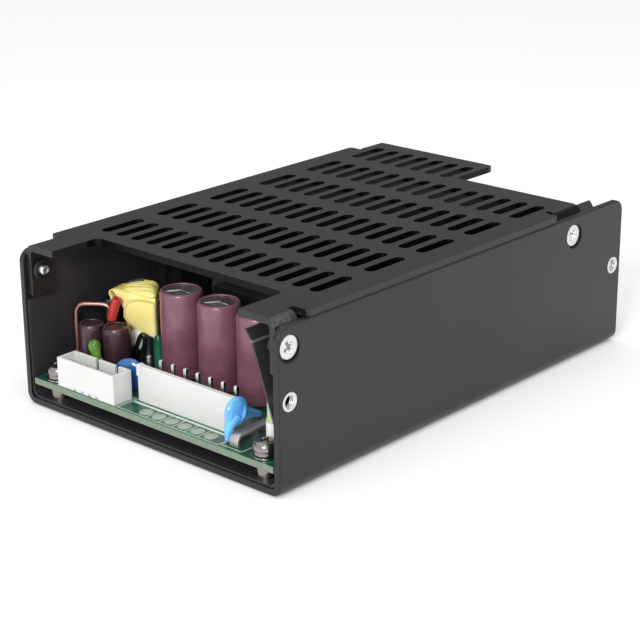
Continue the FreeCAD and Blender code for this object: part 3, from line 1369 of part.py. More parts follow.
device = power_device("power_device")
node("primary_devices", copies("primary_devices", device, [
    (f"{primary_x} + heatsink_thickness",
     f"{primary_y} + primary_device_inset + {i} * device_pitch", device_base, None)
    for i in range(3)
]))
node("secondary_devices", copies("secondary_devices", device, [
    (secondary_x, f"{secondary_y} + secondary_device_inset + {i} * device_pitch",
     device_base, half_turn)
    for i in range(2)
]))


# Chokes: a ring core wound over, on an insulating foot.
def choke(name, radius, hole, height, x, y):
    blank = rod(name + "_blank", radius, height)
    room = rod(name + "_room", hole, f"3 * {height}", z=f"-{height}")
    wound = cut(name + "_ring", blank, room)
    foot = rod(name + "_base", f"{radius} - choke_foot_inset", "choke_foot", x, y, board_top)
    node(name + "_foot", foot)
    return node(name, copies(name, wound, [(x, y, f"{board_top} + choke_foot", None)]))


bulk_right = f"({bulk_x} + bulk_radius)"
boost_room = f"({secondary_x} - device_thickness - {bulk_right} - 2 * toroid_radius)"
boost_x = f"({bulk_right} + boost_share * {boost_room} + toroid_radius)"
boost_y = f"({bulk_y} + boost_setback)"
box_right = f"({board_edge} - filter_capacitor_side - filter_capacitor_length)"
box_left = f"({box_right} - filter_capacitor_gap - filter_capacitor_length)"
filter_x = f"({box_left} - filter_choke_gap - choke_radius)"
choke("boost_choke", "toroid_radius", "toroid_hole", "toroid_height", boost_x, boost_y)
choke("output_choke", "choke_radius", "choke_hole", "choke_height",
      output_choke_x, f"{front} + output_choke_y")
choke("filter_choke", "choke_radius", "choke_hole", "choke_height", filter_x, filter_choke_y)

# Input side: film capacitors, fuse, varistor and thermistor, safety capacitors, header.
film_capacitor = block("film_capacitor", "0", "0", "0", "filter_capacitor_length",
                       "filter_capacitor_depth", "filter_capacitor_height")
fuse_y = f"({rear} - fuse_back)"
fuse_z = f"({board_top} + fuse_radius + fuse_rise)"
choke_rear = f"({boost_y} + toroid_radius)"
box_room = f"({fuse_y} - fuse_radius - {choke_rear} - filter_capacitor_depth)"
box_front = f"({choke_rear} + filter_capacitor_share * {box_room})"
node("film_capacitors", copies("film_capacitors", film_capacitor, [
    (box_left, box_front, board_top, None), (box_right, box_front, board_top, None),
]))
node("fuse_tube", rod(
    "fuse_tube", "fuse_radius - fuse_cap_wall", "fuse_length - 2 * fuse_cap_length",
    "fuse_x + fuse_cap_length", fuse_y, fuse_z, along_x,
))
caps = []
for i, x in enumerate(("fuse_x", "fuse_x + fuse_length - fuse_cap_length")):
    cap = rod(f"fuse_cap_{i}", "fuse_radius", "fuse_cap_length", x, fuse_y, fuse_z, along_x)
    clip = block(f"fuse_clip_{i}", f"{x} + fuse_clip_inset", f"{fuse_y} - fuse_radius", board_top,
                 "fuse_cap_length - 2 * fuse_clip_inset", "2 * fuse_radius",
                 f"{fuse_z} - {board_top}")
    caps.append(fuse(f"fuse_end_{i}", cap, clip))
node("fuse_caps", group("fuse_caps", *caps))
inrush_x = f"(-{board_edge} + inrush_side)"
surge_x = f"({inrush_x} + inrush_radius + surge_gap + surge_radius)"
surge_disc = standing_disc("surge_disc", "surge_radius", "surge_thickness", "large_disc_rise")
node("varistor", copies("varistor", surge_disc, [
    (surge_x, f"{rear} - surge_back", board_top, None),
]))
inrush_disc = standing_disc("inrush_disc", "inrush_radius", "inrush_thickness", "large_disc_rise")
node("thermistor", copies("thermistor", inrush_disc, [
    (inrush_x, f"{rear} - inrush_back", board_top, None),
]))
heatsink_rear = f"({secondary_y} + secondary_heatsink_length)"
washer_front = f"({screw_rows[1]} - washer_radius)"
safety_room = f"({washer_front} - {heatsink_rear} - 4 * small_disc_radius)"
safety_first_y = f"({heatsink_rear} + small_disc_radius + safety_first_share * {safety_room})"
safety_second_y = f"({safety_first_y} + 2 * small_disc_radius + safety_second_share * {safety_room})"
quarter_turn = FreeCAD.Rotation(FreeCAD.Vector(0, 0, 1), 90)
node("safety_capacitors", copies("safety_capacitors", dark_disc, [
    (f"{board_edge} - safety_side", y, board_top, quarter_turn)
    for y in (safety_first_y, safety_second_y)
]))

input_row = f"({rear} - input_pin_back)"
input_start = "(input_first_x - output_end_margin)"
input_length = "((input_pins - 1) * input_pitch + 2 * output_end_margin)"
input_face = f"({input_row} + output_pin_y - output_wall_y)"
input_header = body("input_header")
input_profile = polygon(sketch(input_header, "input_profile", "YZ_Plane", input_start), [
    (input_face, board_top),
    (f"{input_face} - output_base_depth", board_top),
    (f"{input_face} - output_base_depth", f"{board_top} + output_base_height"),
    (f"{input_face} - output_wall_thickness", f"{board_top} + output_base_height"),
    (f"{input_face} - output_wall_thickness", f"{board_top} + output_wall_height"),
    (input_face, f"{board_top} + output_wall_height"),
])
pad(input_header, input_profile, input_length)
pin_holes(input_header, "input_hole", "input_first_x", input_row, "output_pin_width",
          "input_pitch", "input_pins", f"({board_top} + output_base_height)")
node("input_header", input_header)
pin_row("input_header_pins", output_pin, "input_first_x", input_row, "input_pitch", "input_pins")

# Control board: a small board on edge with two packages on its rear face.
control_x = f"({core_left} + control_inset)"
node("control_board", block("control_board", control_x, control_y, board_top, "control_width",
                            "control_thickness", "control_height"))
node("control_packages", group("control_packages", *[
    block(f"control_package_{i}", f"{control_x} + package_first_x + {i} * package_pitch",
          f"{control_y} + control_thickness", f"{board_top} + package_rise", "package_width",
          "package_thickness", "package_height")
    for i in range(2)
]))

doc.recompute()
os.makedirs("parts", exist_ok=True)
for item in doc.Objects:
    if "Invalid" in item.State or "Error" in item.State:
        raise RuntimeError(f"{item.Name} failed: {item.State}")
for name, thing in nodes.items():
    if thing.Shape.isNull() or not thing.Shape.isValid():
        raise RuntimeError(f"{name} has no valid shape")
for name, thing in nodes.items():
    thing.Shape.exportStep(f"parts/{name}.step")
    box = thing.Shape.BoundBox
    print(f"{name}: {len(thing.Shape.Solids)} solids, volume {thing.Shape.Volume:.1f},"
          f" x {box.XMin:.2f}..{box.XMax:.2f} y {box.YMin:.2f}..{box.YMax:.2f}"
          f" z {box.ZMin:.2f}..{box.ZMax:.2f}")
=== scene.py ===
import math
import bmesh
import bpy
import numpy as np
from mathutils import Matrix, Vector


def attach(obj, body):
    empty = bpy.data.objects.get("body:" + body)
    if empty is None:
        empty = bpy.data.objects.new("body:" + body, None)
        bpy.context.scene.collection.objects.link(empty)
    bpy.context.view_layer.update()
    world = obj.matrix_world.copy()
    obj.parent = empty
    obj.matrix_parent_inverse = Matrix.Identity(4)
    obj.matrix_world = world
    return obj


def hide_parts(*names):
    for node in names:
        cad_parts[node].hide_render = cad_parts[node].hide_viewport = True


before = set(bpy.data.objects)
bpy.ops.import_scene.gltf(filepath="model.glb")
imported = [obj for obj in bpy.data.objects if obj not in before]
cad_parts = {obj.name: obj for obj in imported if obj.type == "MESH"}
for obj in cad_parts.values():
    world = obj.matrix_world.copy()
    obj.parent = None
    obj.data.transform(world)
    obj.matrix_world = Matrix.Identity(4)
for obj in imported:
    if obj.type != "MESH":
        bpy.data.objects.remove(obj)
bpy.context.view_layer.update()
print("frame loaded")

mm = 0.001  # the part's source is in millimetres, this file in metres
frontY = -63.5  # front face of the channel, mm
boardTop = 6.6  # upper face of the circuit board, mm
coverScrews = {"z": 33.1, "right": (frontY + 3.6, 42.25), "left": (frontY + 3.6, 59.0)}  # height and rows, mm


# Colours and nodes

def linear(hexColour):
    # sRGB hex to linear light
    parts = [int(hexColour[i:i + 2], 16) / 255 for i in (1, 3, 5)]
    return tuple(c / 12.92 if c <= 0.04045 else ((c + 0.055) / 1.055) ** 2.4 for c in parts) + (1.0,)


def addNode(tree, kind, settings):
    # one node: a setting is a property, an input's value, or the socket to link to that input
    node = tree.nodes.new(kind)
    for key, setting in settings.items():
        if isinstance(setting, bpy.types.NodeSocket):
            tree.links.new(setting, node.inputs[key])
        elif isinstance(key, str) and hasattr(node, key):
            setattr(node, key, setting)
        else:
            node.inputs[key].default_value = setting
    return node


def combine(tree, operation, *parts):
    # arithmetic on sockets and numbers
    return addNode(tree, "ShaderNodeMath", {"operation": operation, **dict(enumerate(parts))}).outputs[0]


def remap(tree, socket, low, high, toLow=0.0, toHigh=1.0):
    limits = {"From Min": low, "From Max": high, "To Min": toLow, "To Max": toHigh}
    return addNode(tree, "ShaderNodeMapRange", {"Value": socket, **limits}).outputs["Result"]


def mixed(tree, factor, first, second, kind="RGBA"):
    # goes from the first to the second: each is a hex colour, a number or a socket
    keys, result = ((6, 7), 2) if kind == "RGBA" else ((2, 3), 0)
    parts = {key: linear(part) if isinstance(part, str) else part for key, part in zip(keys, (first, second))}
    return addNode(tree, "ShaderNodeMix", {"data_type": kind, 0: factor, **parts}).outputs[result]


def within(tree, socket, low, high, blur=0.4):
    # 1 where a coordinate lies between two places in mm, with a soft edge of `blur` mm
    rise = remap(tree, socket, (low - blur) * mm, low * mm)
    fall = remap(tree, socket, (high + blur) * mm, high * mm)
    return combine(tree, "MULTIPLY", rise, fall)


def inside(tree, position, **ranges):
    # 1 inside a box: each axis it names has a low place, a high place and perhaps a blur, in mm
    split = addNode(tree, "ShaderNodeSeparateXYZ", {"Vector": position})
    mask = 1.0
    for axis, limits in ranges.items():
        mask = combine(tree, "MULTIPLY", mask, within(tree, split.outputs[axis.upper()], *limits))
    return mask


def upright(tree):
    # how far a face looks up or down, from 0 to 1
    facing = addNode(tree, "ShaderNodeNewGeometry", {})
    split = addNode(tree, "ShaderNodeSeparateXYZ", {"Vector": facing.outputs["Normal"]})
    return combine(tree, "ABSOLUTE", split.outputs["Z"])


def noise(tree, position, size, detail=3.0):
    # features about `size` mm across
    settings = {"Scale": 1 / (size * mm), "Detail": detail, "Vector": position}
    return addNode(tree, "ShaderNodeTexNoise", settings).outputs["Fac"]


def bands(tree, position, spacing, **more):
    # waves that climb the part, about one every `spacing` mm
    settings = {"wave_type": "BANDS", "bands_direction": "Z", "Scale": 1 / (spacing * mm) / 3.14, **more}
    return addNode(tree, "ShaderNodeTexWave", {**settings, "Vector": position}).outputs["Fac"]


def bump(tree, shader, height, strength, depth):
    raised = addNode(tree, "ShaderNodeBump", {"Strength": strength, "Distance": depth * mm, "Height": height})
    tree.links.new(raised.outputs["Normal"], shader.inputs["Normal"])


def mottle(tree, shader, position, size, dark, light):
    # slow change between two tones over `size` mm
    ramp = addNode(tree, "ShaderNodeValToRGB", {"Fac": noise(tree, position, size, 4.0)})
    for stop, place, tone in zip(ramp.color_ramp.elements, (0.35, 0.65), (dark, light)):
        stop.position, stop.color = place, linear(tone)
    tree.links.new(ramp.outputs["Color"], shader.inputs["Base Color"])
    return ramp.outputs["Color"]


def patches(tree, shader, position, size, smooth, dull):
    # areas of smoother and duller surface, `size` mm across
    spread = remap(tree, noise(tree, position, size, 5.0), 0.3, 0.7, smooth, dull)
    tree.links.new(spread, shader.inputs["Roughness"])
    return spread


def newMaterial(name, colour, roughness, metallic=0.0, ior=None, coat=None, glow=None):
    # coat is a weight and a roughness; glow is a weight and the reach in mm of red, green and blue
    material = bpy.data.materials.new(name)
    material.use_nodes = True
    tree = material.node_tree
    shader = tree.nodes["Principled BSDF"]
    optics = {"Base Color": linear(colour), "Roughness": roughness, "Metallic": metallic}
    if ior is not None:
        optics["IOR"] = ior
    if coat:
        optics["Coat Weight"], optics["Coat Roughness"] = coat
    if glow:
        optics["Subsurface Weight"], optics["Subsurface Scale"] = glow[0], 1.0
        optics["Subsurface Radius"] = [reach * mm for reach in glow[1]]
    for key, setting in optics.items():
        shader.inputs[key].default_value = setting
    return material, tree, shader, addNode(tree, "ShaderNodeTexCoord", {}).outputs["Object"]


def makeSurface(name, colour, roughness, bumps=None, tones=None, spread=None, **optics):
    # bumps are (size, strength, depth), tones (size, dark, light), spread (size, smooth, dull); sizes in mm
    material, tree, shader, position = newMaterial(name, colour, roughness, **optics)
    if bumps:
        bump(tree, shader, noise(tree, position, bumps[0]), *bumps[1:])
    if tones:
        mottle(tree, shader, position, *tones)
    if spread:
        patches(tree, shader, position, *spread)
    return material


# Materials

def powderCoat():
    # Black polyester powder baked on steel: a soft sheen and a very fine orange peel. Round each cover
    # screw on the right lies a ring of painted shade, near black, glossier and with little specular, set a
    # little low: the shadow in the gap round the screw head
    screwShadeRing = {"inner": 2.5, "outer": 2.95, "blur": 0.4, "off": [(-0.15, -0.35), (0.25, -0.35)],
              "colour": "#060607", "roughness": 0.16, "specular": 0.2}
    material, tree, shader, position = newMaterial("satin_powder_coat", "#131315", 0.36, ior=1.5)
    bump(tree, shader, noise(tree, position, 0.9), 0.10, 0.02)
    tones = mottle(tree, shader, position, 40, "#121214", "#161618")
    spread = patches(tree, shader, position, 25, 0.33, 0.42)
    flat = addNode(tree, "ShaderNodeVectorMath", {"operation": "MULTIPLY", 0: position, 1: (0.0, 1.0, 1.0)})
    rings = 0.0
    for row, (along, up) in zip(coverScrews["right"], screwShadeRing["off"]):
        centre = (0.0, (row + along) * mm, (coverScrews["z"] + up) * mm)
        away = addNode(tree, "ShaderNodeVectorMath", {"operation": "DISTANCE", 0: flat.outputs["Vector"],
                                                      1: centre})
        ring = within(tree, away.outputs["Value"], screwShadeRing["inner"], screwShadeRing["outer"], screwShadeRing["blur"])
        rings = combine(tree, "MAXIMUM", rings, ring)
    rings = combine(tree, "MULTIPLY", rings, inside(tree, position, x=(38.0, 42.0)))
    # painted shade: the ring round each right cover screw is darkened to near black, made glossier and its
    # specular cut
    tree.links.new(mixed(tree, rings, tones, screwShadeRing["colour"]), shader.inputs["Base Color"])
    shadeRingRoughness = mixed(tree, rings, spread, screwShadeRing["roughness"], "FLOAT")
    tree.links.new(shadeRingRoughness, shader.inputs["Roughness"])
    tree.links.new(remap(tree, rings, 0, 1, 0.5, screwShadeRing["specular"]), shader.inputs["Specular IOR Level"])
    return material


def coverCoat():
    # The same powder on the cover, with a lighter base black as painted light, since its face takes light at
    # a flatter angle. The walls of the punched slots and the rear right tab carry painted shade, near black
    # with little specular; the front right tab's bend is glossier, with a painted highlight of grey speckle
    # along its crest
    shadeHighlightAndGlossAreas = {
        "slots": {"x": (-36.5, 36.5), "y": (-52.0, 61.0)},
        "shadedRearTab": {"x": (36.9, 41.0), "y": (36.0, 48.0), "z": (30.0, 39.2, 0.2)},
        "crestHighlight": {"x": (38.8, 39.9, 0.5), "y": (-62.5, -57.5), "z": (38.0, 39.5, 0.4)},
        "bend": {"x": (37.5, 42.0, 1.5), "y": (-64.0, -54.0, 4.0)},
    }
    # painted light: the cover's base black #19191B is lighter than the channel's #131315 for the light its
    # flatter face takes
    material, tree, shader, position = newMaterial("cover_powder_coat", "#19191B", 0.34, ior=1.5)
    bump(tree, shader, noise(tree, position, 0.8), 0.10, 0.02)
    spread = patches(tree, shader, position, 30, 0.31, 0.39)
    slots, shadedRearTab, crestHighlight, bend = (inside(tree, position, **box) for box in shadeHighlightAndGlossAreas.values())
    steep = remap(tree, upright(tree), 0.75, 0.45)
    # painted shade: the steep walls in the slots and the whole rear right tab get near black #070708
    slotAndTabShade = combine(tree, "MAXIMUM", combine(tree, "MULTIPLY", steep, slots), shadedRearTab)
    highlightSpeckle = remap(tree, noise(tree, position, 0.28, 2.0), 0.42, 0.58)
    paintWithShade = mixed(tree, slotAndTabShade, "#19191B", "#070708")
    # painted highlight: pale grey speckle #505052 along the front right tab's crest stands in for the
    # reflection on its bend
    paintShadeAndHighlight = mixed(tree, combine(tree, "MULTIPLY", highlightSpeckle, crestHighlight), paintWithShade, "#505052")
    tree.links.new(paintShadeAndHighlight, shader.inputs["Base Color"])
    # painted shade: the specular drops where the slot walls and rear right tab are darkened
    tree.links.new(remap(tree, slotAndTabShade, 0, 1, 0.5, 0.12), shader.inputs["Specular IOR Level"])
    tree.links.new(mixed(tree, bend, spread, 0.1, "FLOAT"), shader.inputs["Roughness"])
    return material


def insulatingFilm():
    # Black polypropylene sheet: smooth, slightly grey from its velvet face, with a pale line of painted
    # highlight along the crease in the right wing
    material, tree, shader, position = newMaterial("black_film", "#2A282C", 0.42, ior=1.49)
    bump(tree, shader, noise(tree, position, 0.25), 0.06, 0.01)
    patches(tree, shader, position, 14, 0.38, 0.50)
    creaseHighlight = inside(tree, position, x=(26.0, 39.5), z=(33.2, 33.5, 0.15))
    # painted highlight: a pale grey line #6A6A6E along the right wing's crease
    tree.links.new(mixed(tree, creaseHighlight, "#302E32", "#6A6A6E"), shader.inputs["Base Color"])
    return material


def solderMask():
    # Glass epoxy board under green lacquer: copper tracks show through as a paler green web, and the cut
    # edge is pale green glass
    track = {"pitch": 5, "gap": 0.16}
    material, tree, shader, position = newMaterial("solder_mask", "#1F6B4E", 0.28, ior=1.55)
    web = addNode(tree, "ShaderNodeTexVoronoi", {"feature": "DISTANCE_TO_EDGE", "distance": "CHEBYCHEV",
                                                 "Scale": 1 / (track["pitch"] * mm), "Vector": position})
    copper = combine(tree, "GREATER_THAN", web.outputs["Distance"], track["gap"])
    lacquer = mixed(tree, copper, "#174A38", "#226049")
    glass = mixed(tree, noise(tree, position, 0.8), "#5F6E60", "#7A8A75")
    face = combine(tree, "GREATER_THAN", upright(tree), 0.5)
    tree.links.new(mixed(tree, face, glass, lacquer), shader.inputs["Base Color"])
    return material


def polyesterTape():
    # Yellow polyester tape in lapped turns: satin, with faint lap lines and creases
    lap = {"spacing": 6, "share": 0.35, "crease": 2.4}
    material, tree, shader, position = newMaterial("yellow_tape", "#F4E68C", 0.34, ior=1.6)
    laps = bands(tree, position, lap["spacing"], **{"Distortion": 1.5, "Detail": 2.0, "Detail Scale": 0.6})
    height = combine(tree, "MULTIPLY_ADD", laps, lap["share"], noise(tree, position, lap["crease"], 4.0))
    bump(tree, shader, height, 0.35, 0.18)
    mottle(tree, shader, position, 7, "#F0DF78", "#FBF0A4")
    return material


def enamelledWire():
    # Enamelled copper in tight turns round a ring: amber gloss with 0.9 mm ribs
    material, tree, shader, position = newMaterial("enamelled_wire", "#8A4A26", 0.25, ior=1.6)
    bump(tree, shader, bands(tree, position, 0.9), 0.6, 0.3)
    return material


def extrudedAluminium():
    # Extruded aluminium under a black anodic film, with fine lines along the die
    material, tree, shader, position = newMaterial("black_anodised", "#121315", 0.6, ior=1.5)
    along = addNode(tree, "ShaderNodeMapping", {"Scale": (1.0, 0.05, 1.0), "Vector": position})
    bump(tree, shader, noise(tree, along.outputs["Vector"], 0.4), 0.2, 0.02)
    return material


def shrinkSleeve(name, deep, pale):
    # PET sleeve shrunk over the can: glossy, with faint rings where it drew in
    return makeSurface(name, deep, 0.32, (3.0, 0.10, 0.05), (6, deep, pale), ior=1.57, coat=(0.25, 0.14))


def lampLens(name, colour, inner):
    # Diffused green epoxy: glows a little from within under room light
    return makeSurface(name, colour, 0.16, tones=(2.5, colour, inner), ior=1.52, glow=(0.6, (0.5, 1.2, 0.4)))


def dippedEnamel(name, deep, pale):
    # Phenolic dip: thick glossy coat that runs down the leads
    return makeSurface(name, deep, 0.18, (2.2, 0.25, 0.12), (3.5, deep, pale), ior=1.55, coat=(0.5, 0.05))


def metal(name, colour, roughness, bumps, spread=None):
    # Bare or plated metal: its colour is all in what it reflects
    return makeSurface(name, colour, roughness, bumps, spread=spread, metallic=1.0)


finishes = {
    "channelPaint": powderCoat(),
    "coverPaint": coverCoat(),
    "film": insulatingFilm(),
    "board": solderMask(),
    "tape": polyesterTape(),
    "winding": enamelledWire(),
    "sink": extrudedAluminium(),
    "maroon": shrinkSleeve("maroon_sleeve", "#754858", "#845868"),
    "plum": shrinkSleeve("plum_sleeve", "#301C23", "#3C242C"),
    "lampGreen": lampLens("green_lens", "#3A6A22", "#7CAF45"),
    "lampPale": lampLens("pale_green_lens", "#9FB286", "#C4D3B0"),
    "sky": dippedEnamel("sky_blue_dip", "#4CA4F0", "#6EBCFA"),
    "navy": dippedEnamel("deep_blue_dip", "#1B4F8C", "#2563A2"),
    "greenDip": dippedEnamel("green_dip", "#1B5A40", "#2A7453"),
    # unpigmented nylon 66, injection moulded: milky white with light in its edges
    "nylon": makeSurface("natural_nylon", "#D3D3D1", 0.42, (0.5, 0.05, 0.01), ior=1.53,
                         glow=(0.25, (0.9, 0.9, 0.8))),
    # bright tin over brass: near mirror with soft ripples from the bath
    "tin": metal("bright_tin", "#D9D6D0", 0.20, (0.7, 0.15, 0.02), (1.5, 0.14, 0.30)),
    # hot tinned strap and solder: grey, rough and slow to reflect
    "dullTin": metal("dipped_tin", "#C8C4BC", 0.5, (0.8, 0.2, 0.03)),
    # nickel on steel: warm grey metal, smooth, with faint handling marks
    "nickel": metal("nickel_plate", "#96918B", 0.2, (0.4, 0.10, 0.01), (2, 0.16, 0.32)),
    # bright zinc on the flat heads and inserts: pale, bluish white and fairly smooth
    "zinc": metal("bright_zinc", "#DEDEDC", 0.26, (0.4, 0.14, 0.012), (1.5, 0.2, 0.36)),
    # deep drawn aluminium: pale grey, with a dull scored top
    "can": metal("drawn_aluminium", "#C9CBCE", 0.28, (0.9, 0.35, 0.05), (3, 0.28, 0.44)),
    # copper wire dulled by handling: pinkish brown, still metallic
    "copper": metal("dull_copper", "#AC8880", 0.40, (0.6, 0.12, 0.02), (2, 0.28, 0.46)),
    # red silicone rubber sleeving: soft satin
    "redTube": makeSurface("red_sleeving", "#C03A36", 0.38, (1.0, 0.08, 0.03), ior=1.45),
    # pressed and sintered ferrite: charcoal, matt and slightly gritty
    "ferrite": makeSurface("sintered_ferrite", "#35363A", 0.62, (0.3, 0.25, 0.03), (4, "#2E2F33", "#404146"),
                           ior=1.9),
    # glass filled phenolic or epoxy: black, moulded, faintly dusty
    "black": makeSurface("moulded_black", "#17171A", 0.48, (0.4, 0.15, 0.02), ior=1.5),
    # black varnished epoxy: glossy, with a hint of green in its depth
    "glossBlack": makeSurface("varnished_epoxy", "#141816", 0.2, (1.4, 0.12, 0.05), ior=1.55, coat=(0.3, 0.1)),
    # black polyester tape over a winding: satin, slightly uneven
    "blackTape": makeSurface("black_tape", "#16161A", 0.34, (1.8, 0.25, 0.08), ior=1.6),
    # moulded polybutylene box filled with resin: dull ochre
    "box": makeSurface("resin_filled_box", "#A8883A", 0.42, (0.6, 0.10, 0.02), ior=1.55),
    # unglazed steatite tube: warm white and dry
    "ceramic": makeSurface("steatite", "#E4E0D6", 0.55, (0.3, 0.15, 0.02), ior=1.6),
    # plain moulded polyamide spacer: soft white
    "spacer": makeSurface("white_spacer", "#E9E8E6", 0.45, (0.5, 0.08, 0.02), ior=1.5),
    # screened white epoxy ink on the board: dry and thin
    "legend": makeSurface("white_legend", "#C6D3C8", 0.5, (0.2, 0.15, 0.01), ior=1.5),
    # solder pad under dried flux: pale grey green, hardly metallic
    "fluxedPad": makeSurface("fluxed_solder", "#98A594", 0.42, (0.6, 0.2, 0.03), ior=1.5, metallic=0.25),
    # neutral cure silicone that bonds the parts: white, rubbery, with a soft skin
    "silicone": makeSurface("white_silicone", "#EDEBE6", 0.40, (1.6, 0.30, 0.15), ior=1.42),
}
print("materials made")


# Mesh tools

def newPiece(name, verts, faces, finish, node=None, smooth=True):
    # puts arrays of corners (mm) and faces into a mesh that rides on the part
    mesh = bpy.data.meshes.new(name)
    mesh.from_pydata((np.asarray(verts, float) * mm).tolist(), [], np.asarray(faces).tolist())
    mesh.validate()
    return finishPiece(name, mesh, finish, node, smooth)


def finishPiece(name, mesh, finish, node=None, smooth=True):
    piece = bpy.data.objects.new(name, mesh)
    bpy.context.scene.collection.objects.link(piece)
    mesh.materials.append(finishes[finish])
    mesh.polygons.foreach_set("use_smooth", np.full(len(mesh.polygons), smooth))
    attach(piece, "root")
    if node:
        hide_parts(node)
    return piece


def gridFaces(rows, columns, wrapRows=False, wrapColumns=False, start=0):
    # quads between neighbouring points of a rows x columns grid
    r = np.arange(rows if wrapRows else rows - 1)
    c = np.arange(columns if wrapColumns else columns - 1)
    r, c = np.meshgrid(r, c, indexing="ij")
    r2, c2 = (r + 1) % rows, (c + 1) % columns
    quads = np.stack([r * columns + c, r * columns + c2, r2 * columns + c2, r2 * columns + c], -1)
    return quads.reshape(-1, 4) + start


def weld(piece, distance=1e-6, recalculate=True):
    # joins doubled points, so that poles and seams are closed, and turns the faces outwards
    work = bmesh.new()
    work.from_mesh(piece.data)
    bmesh.ops.remove_doubles(work, verts=work.verts, dist=distance)
    bmesh.ops.dissolve_degenerate(work, dist=distance, edges=work.edges)
    if recalculate:
        bmesh.ops.recalc_face_normals(work, faces=work.faces)
    work.to_mesh(piece.data)
    work.free()
    return piece


def turnedGrid(profile, count=64):
    # a profile of (radius, height) carried round its own Z: x = r cos a, y = r sin a, z = h
    profile = np.asarray(profile, float)
    angle = np.linspace(0, 2 * math.pi, count, endpoint=False)
    r, a = profile[:, 0][:, None], angle[None, :]
    return np.stack([r * np.cos(a), r * np.sin(a), np.repeat(profile[:, 1][:, None], count, 1)], -1)


def roundedProfile(points, radius=0.25, steps=4):
    # the outline with each inner corner eased by a quadratic curve of about that radius
    points = np.asarray(points, float)
    out = [points[0]]
    for before, here, after in zip(points, points[1:], points[2:]):
        a, b = before - here, after - here
        la, lb = np.linalg.norm(a), np.linalg.norm(b)
        reach = min(radius, la * 0.45, lb * 0.45)
        p0, p2 = here + a / la * reach, here + b / lb * reach
        t = np.linspace(0, 1, steps)[:, None]
        out.extend((1 - t) ** 2 * p0 + 2 * t * (1 - t) * here + t ** 2 * p2)
    out.append(points[-1])
    return np.array(out)


def moved(grid, at, turn=None):
    # a grid of points at a new place, after turning it by a 3 x 3 matrix
    if turn is not None:
        grid = grid @ np.asarray(turn).T
    return grid + np.asarray(at, float)


def gridPiece(name, grids, finish, node=None, capped=False, smooth=True, distance=1e-6):
    # one piece made of like grids, each closed round its columns and, when capped, over its four-sided ends
    rows, columns = grids[0].shape[:2]
    body = gridFaces(rows, columns, wrapColumns=True)
    if capped:
        end = np.arange(columns)
        body = np.vstack([body, end[::-1], end + (rows - 1) * columns])
    verts = np.concatenate([grid.reshape(-1, 3) for grid in grids])
    faces = np.concatenate([body + i * rows * columns for i in range(len(grids))])
    return weld(newPiece(name, verts, faces, finish, node, smooth), distance)


def turnedPiece(name, profile, places, finish, node=None, count=64, turn=None):
    # the same turned form at several places
    grid = turnedGrid(profile, count)
    return gridPiece(name, [moved(grid, at, turn) for at in places], finish, node)


def smoothPath(points, steps=10):
    # a cubic curve through every point, whose slope at each follows the line between its neighbours
    p = np.asarray(points, float)
    p = np.vstack([2 * p[0] - p[1], p, 2 * p[-1] - p[-2]])
    t = np.linspace(0, 1, steps, endpoint=False)[:, None]
    out = []
    for i in range(1, len(p) - 2):
        a, b, c, d = p[i - 1:i + 3]
        out.append(0.5 * ((2 * b) + (c - a) * t + (2 * a - 5 * b + 4 * c - d) * t ** 2
                          + (3 * b - a - 3 * c + d) * t ** 3))
    return np.vstack(out + [p[-2:-1]])


def tubeGrid(path, radius, count=16):
    # a ring carried along the path: each ring lies square to the path and turns as little as it can
    path = np.asarray(path, float)
    radius = np.broadcast_to(np.asarray(radius, float), (len(path),))
    way = np.gradient(path, axis=0)
    way /= np.linalg.norm(way, axis=1)[:, None]
    side = np.cross(way[0], [0.3, 0.2, 1.0])
    side /= np.linalg.norm(side)
    rings = []
    angle = np.linspace(0, 2 * math.pi, count, endpoint=False)
    for point, direction, r in zip(path, way, radius):
        side = side - direction * np.dot(side, direction)
        side /= np.linalg.norm(side)
        other = np.cross(direction, side)
        rings.append(point + r * (np.cos(angle)[:, None] * side + np.sin(angle)[:, None] * other))
    return np.array(rings)


def tubePiece(name, path, radius, finish, node=None, count=16):
    # a wire along a path, closed at each end by a ring of no radius
    path = np.asarray(path, float)
    radius = np.broadcast_to(np.asarray(radius, float), (len(path),))
    radius = np.concatenate([[1e-6], radius, [1e-6]])
    path = np.vstack([path[0] - (path[1] - path[0]) * 1e-3, path, path[-1] + (path[-1] - path[-2]) * 1e-3])
    return gridPiece(name, [tubeGrid(path, radius, count)], finish, node, distance=1e-8)


def roundedBlock(name, block, power, finish, node=None):
    # superellipsoid: x, y and z follow signed powers of sine and cosine between the block's faces
    a = np.linspace(-math.pi / 2, math.pi / 2, 33)[:, None]
    b = np.linspace(0, 2 * math.pi, 48, endpoint=False)[None, :]

    def bent(part):
        return np.sign(part) * np.abs(part) ** power

    ring = np.abs(np.cos(a)) ** power
    parts = ring * bent(np.cos(b)), ring * bent(np.sin(b)), bent(np.sin(a)) * np.ones_like(b)
    grid = np.stack([(high + low) / 2 + (high - low) / 2 * part
                     for (low, high), part in zip((block["x"], block["y"], block["z"]), parts)], -1)
    return gridPiece(name, [grid], finish, node)


def thicken(piece, thickness, offset=-1):
    # gives a sheet its thickness in mm
    solid = piece.modifiers.new("thickness", "SOLIDIFY")
    solid.thickness = thickness * mm
    solid.offset = offset


def easeEdges(piece, width, segments, angle=30):
    # rounds each edge sharper than `angle` by `width` mm
    bevel = piece.modifiers.new("eased edges", "BEVEL")
    bevel.width = width * mm
    bevel.segments = segments
    bevel.limit_method = "ANGLE"
    bevel.angle_limit = math.radians(angle)
    return bevel


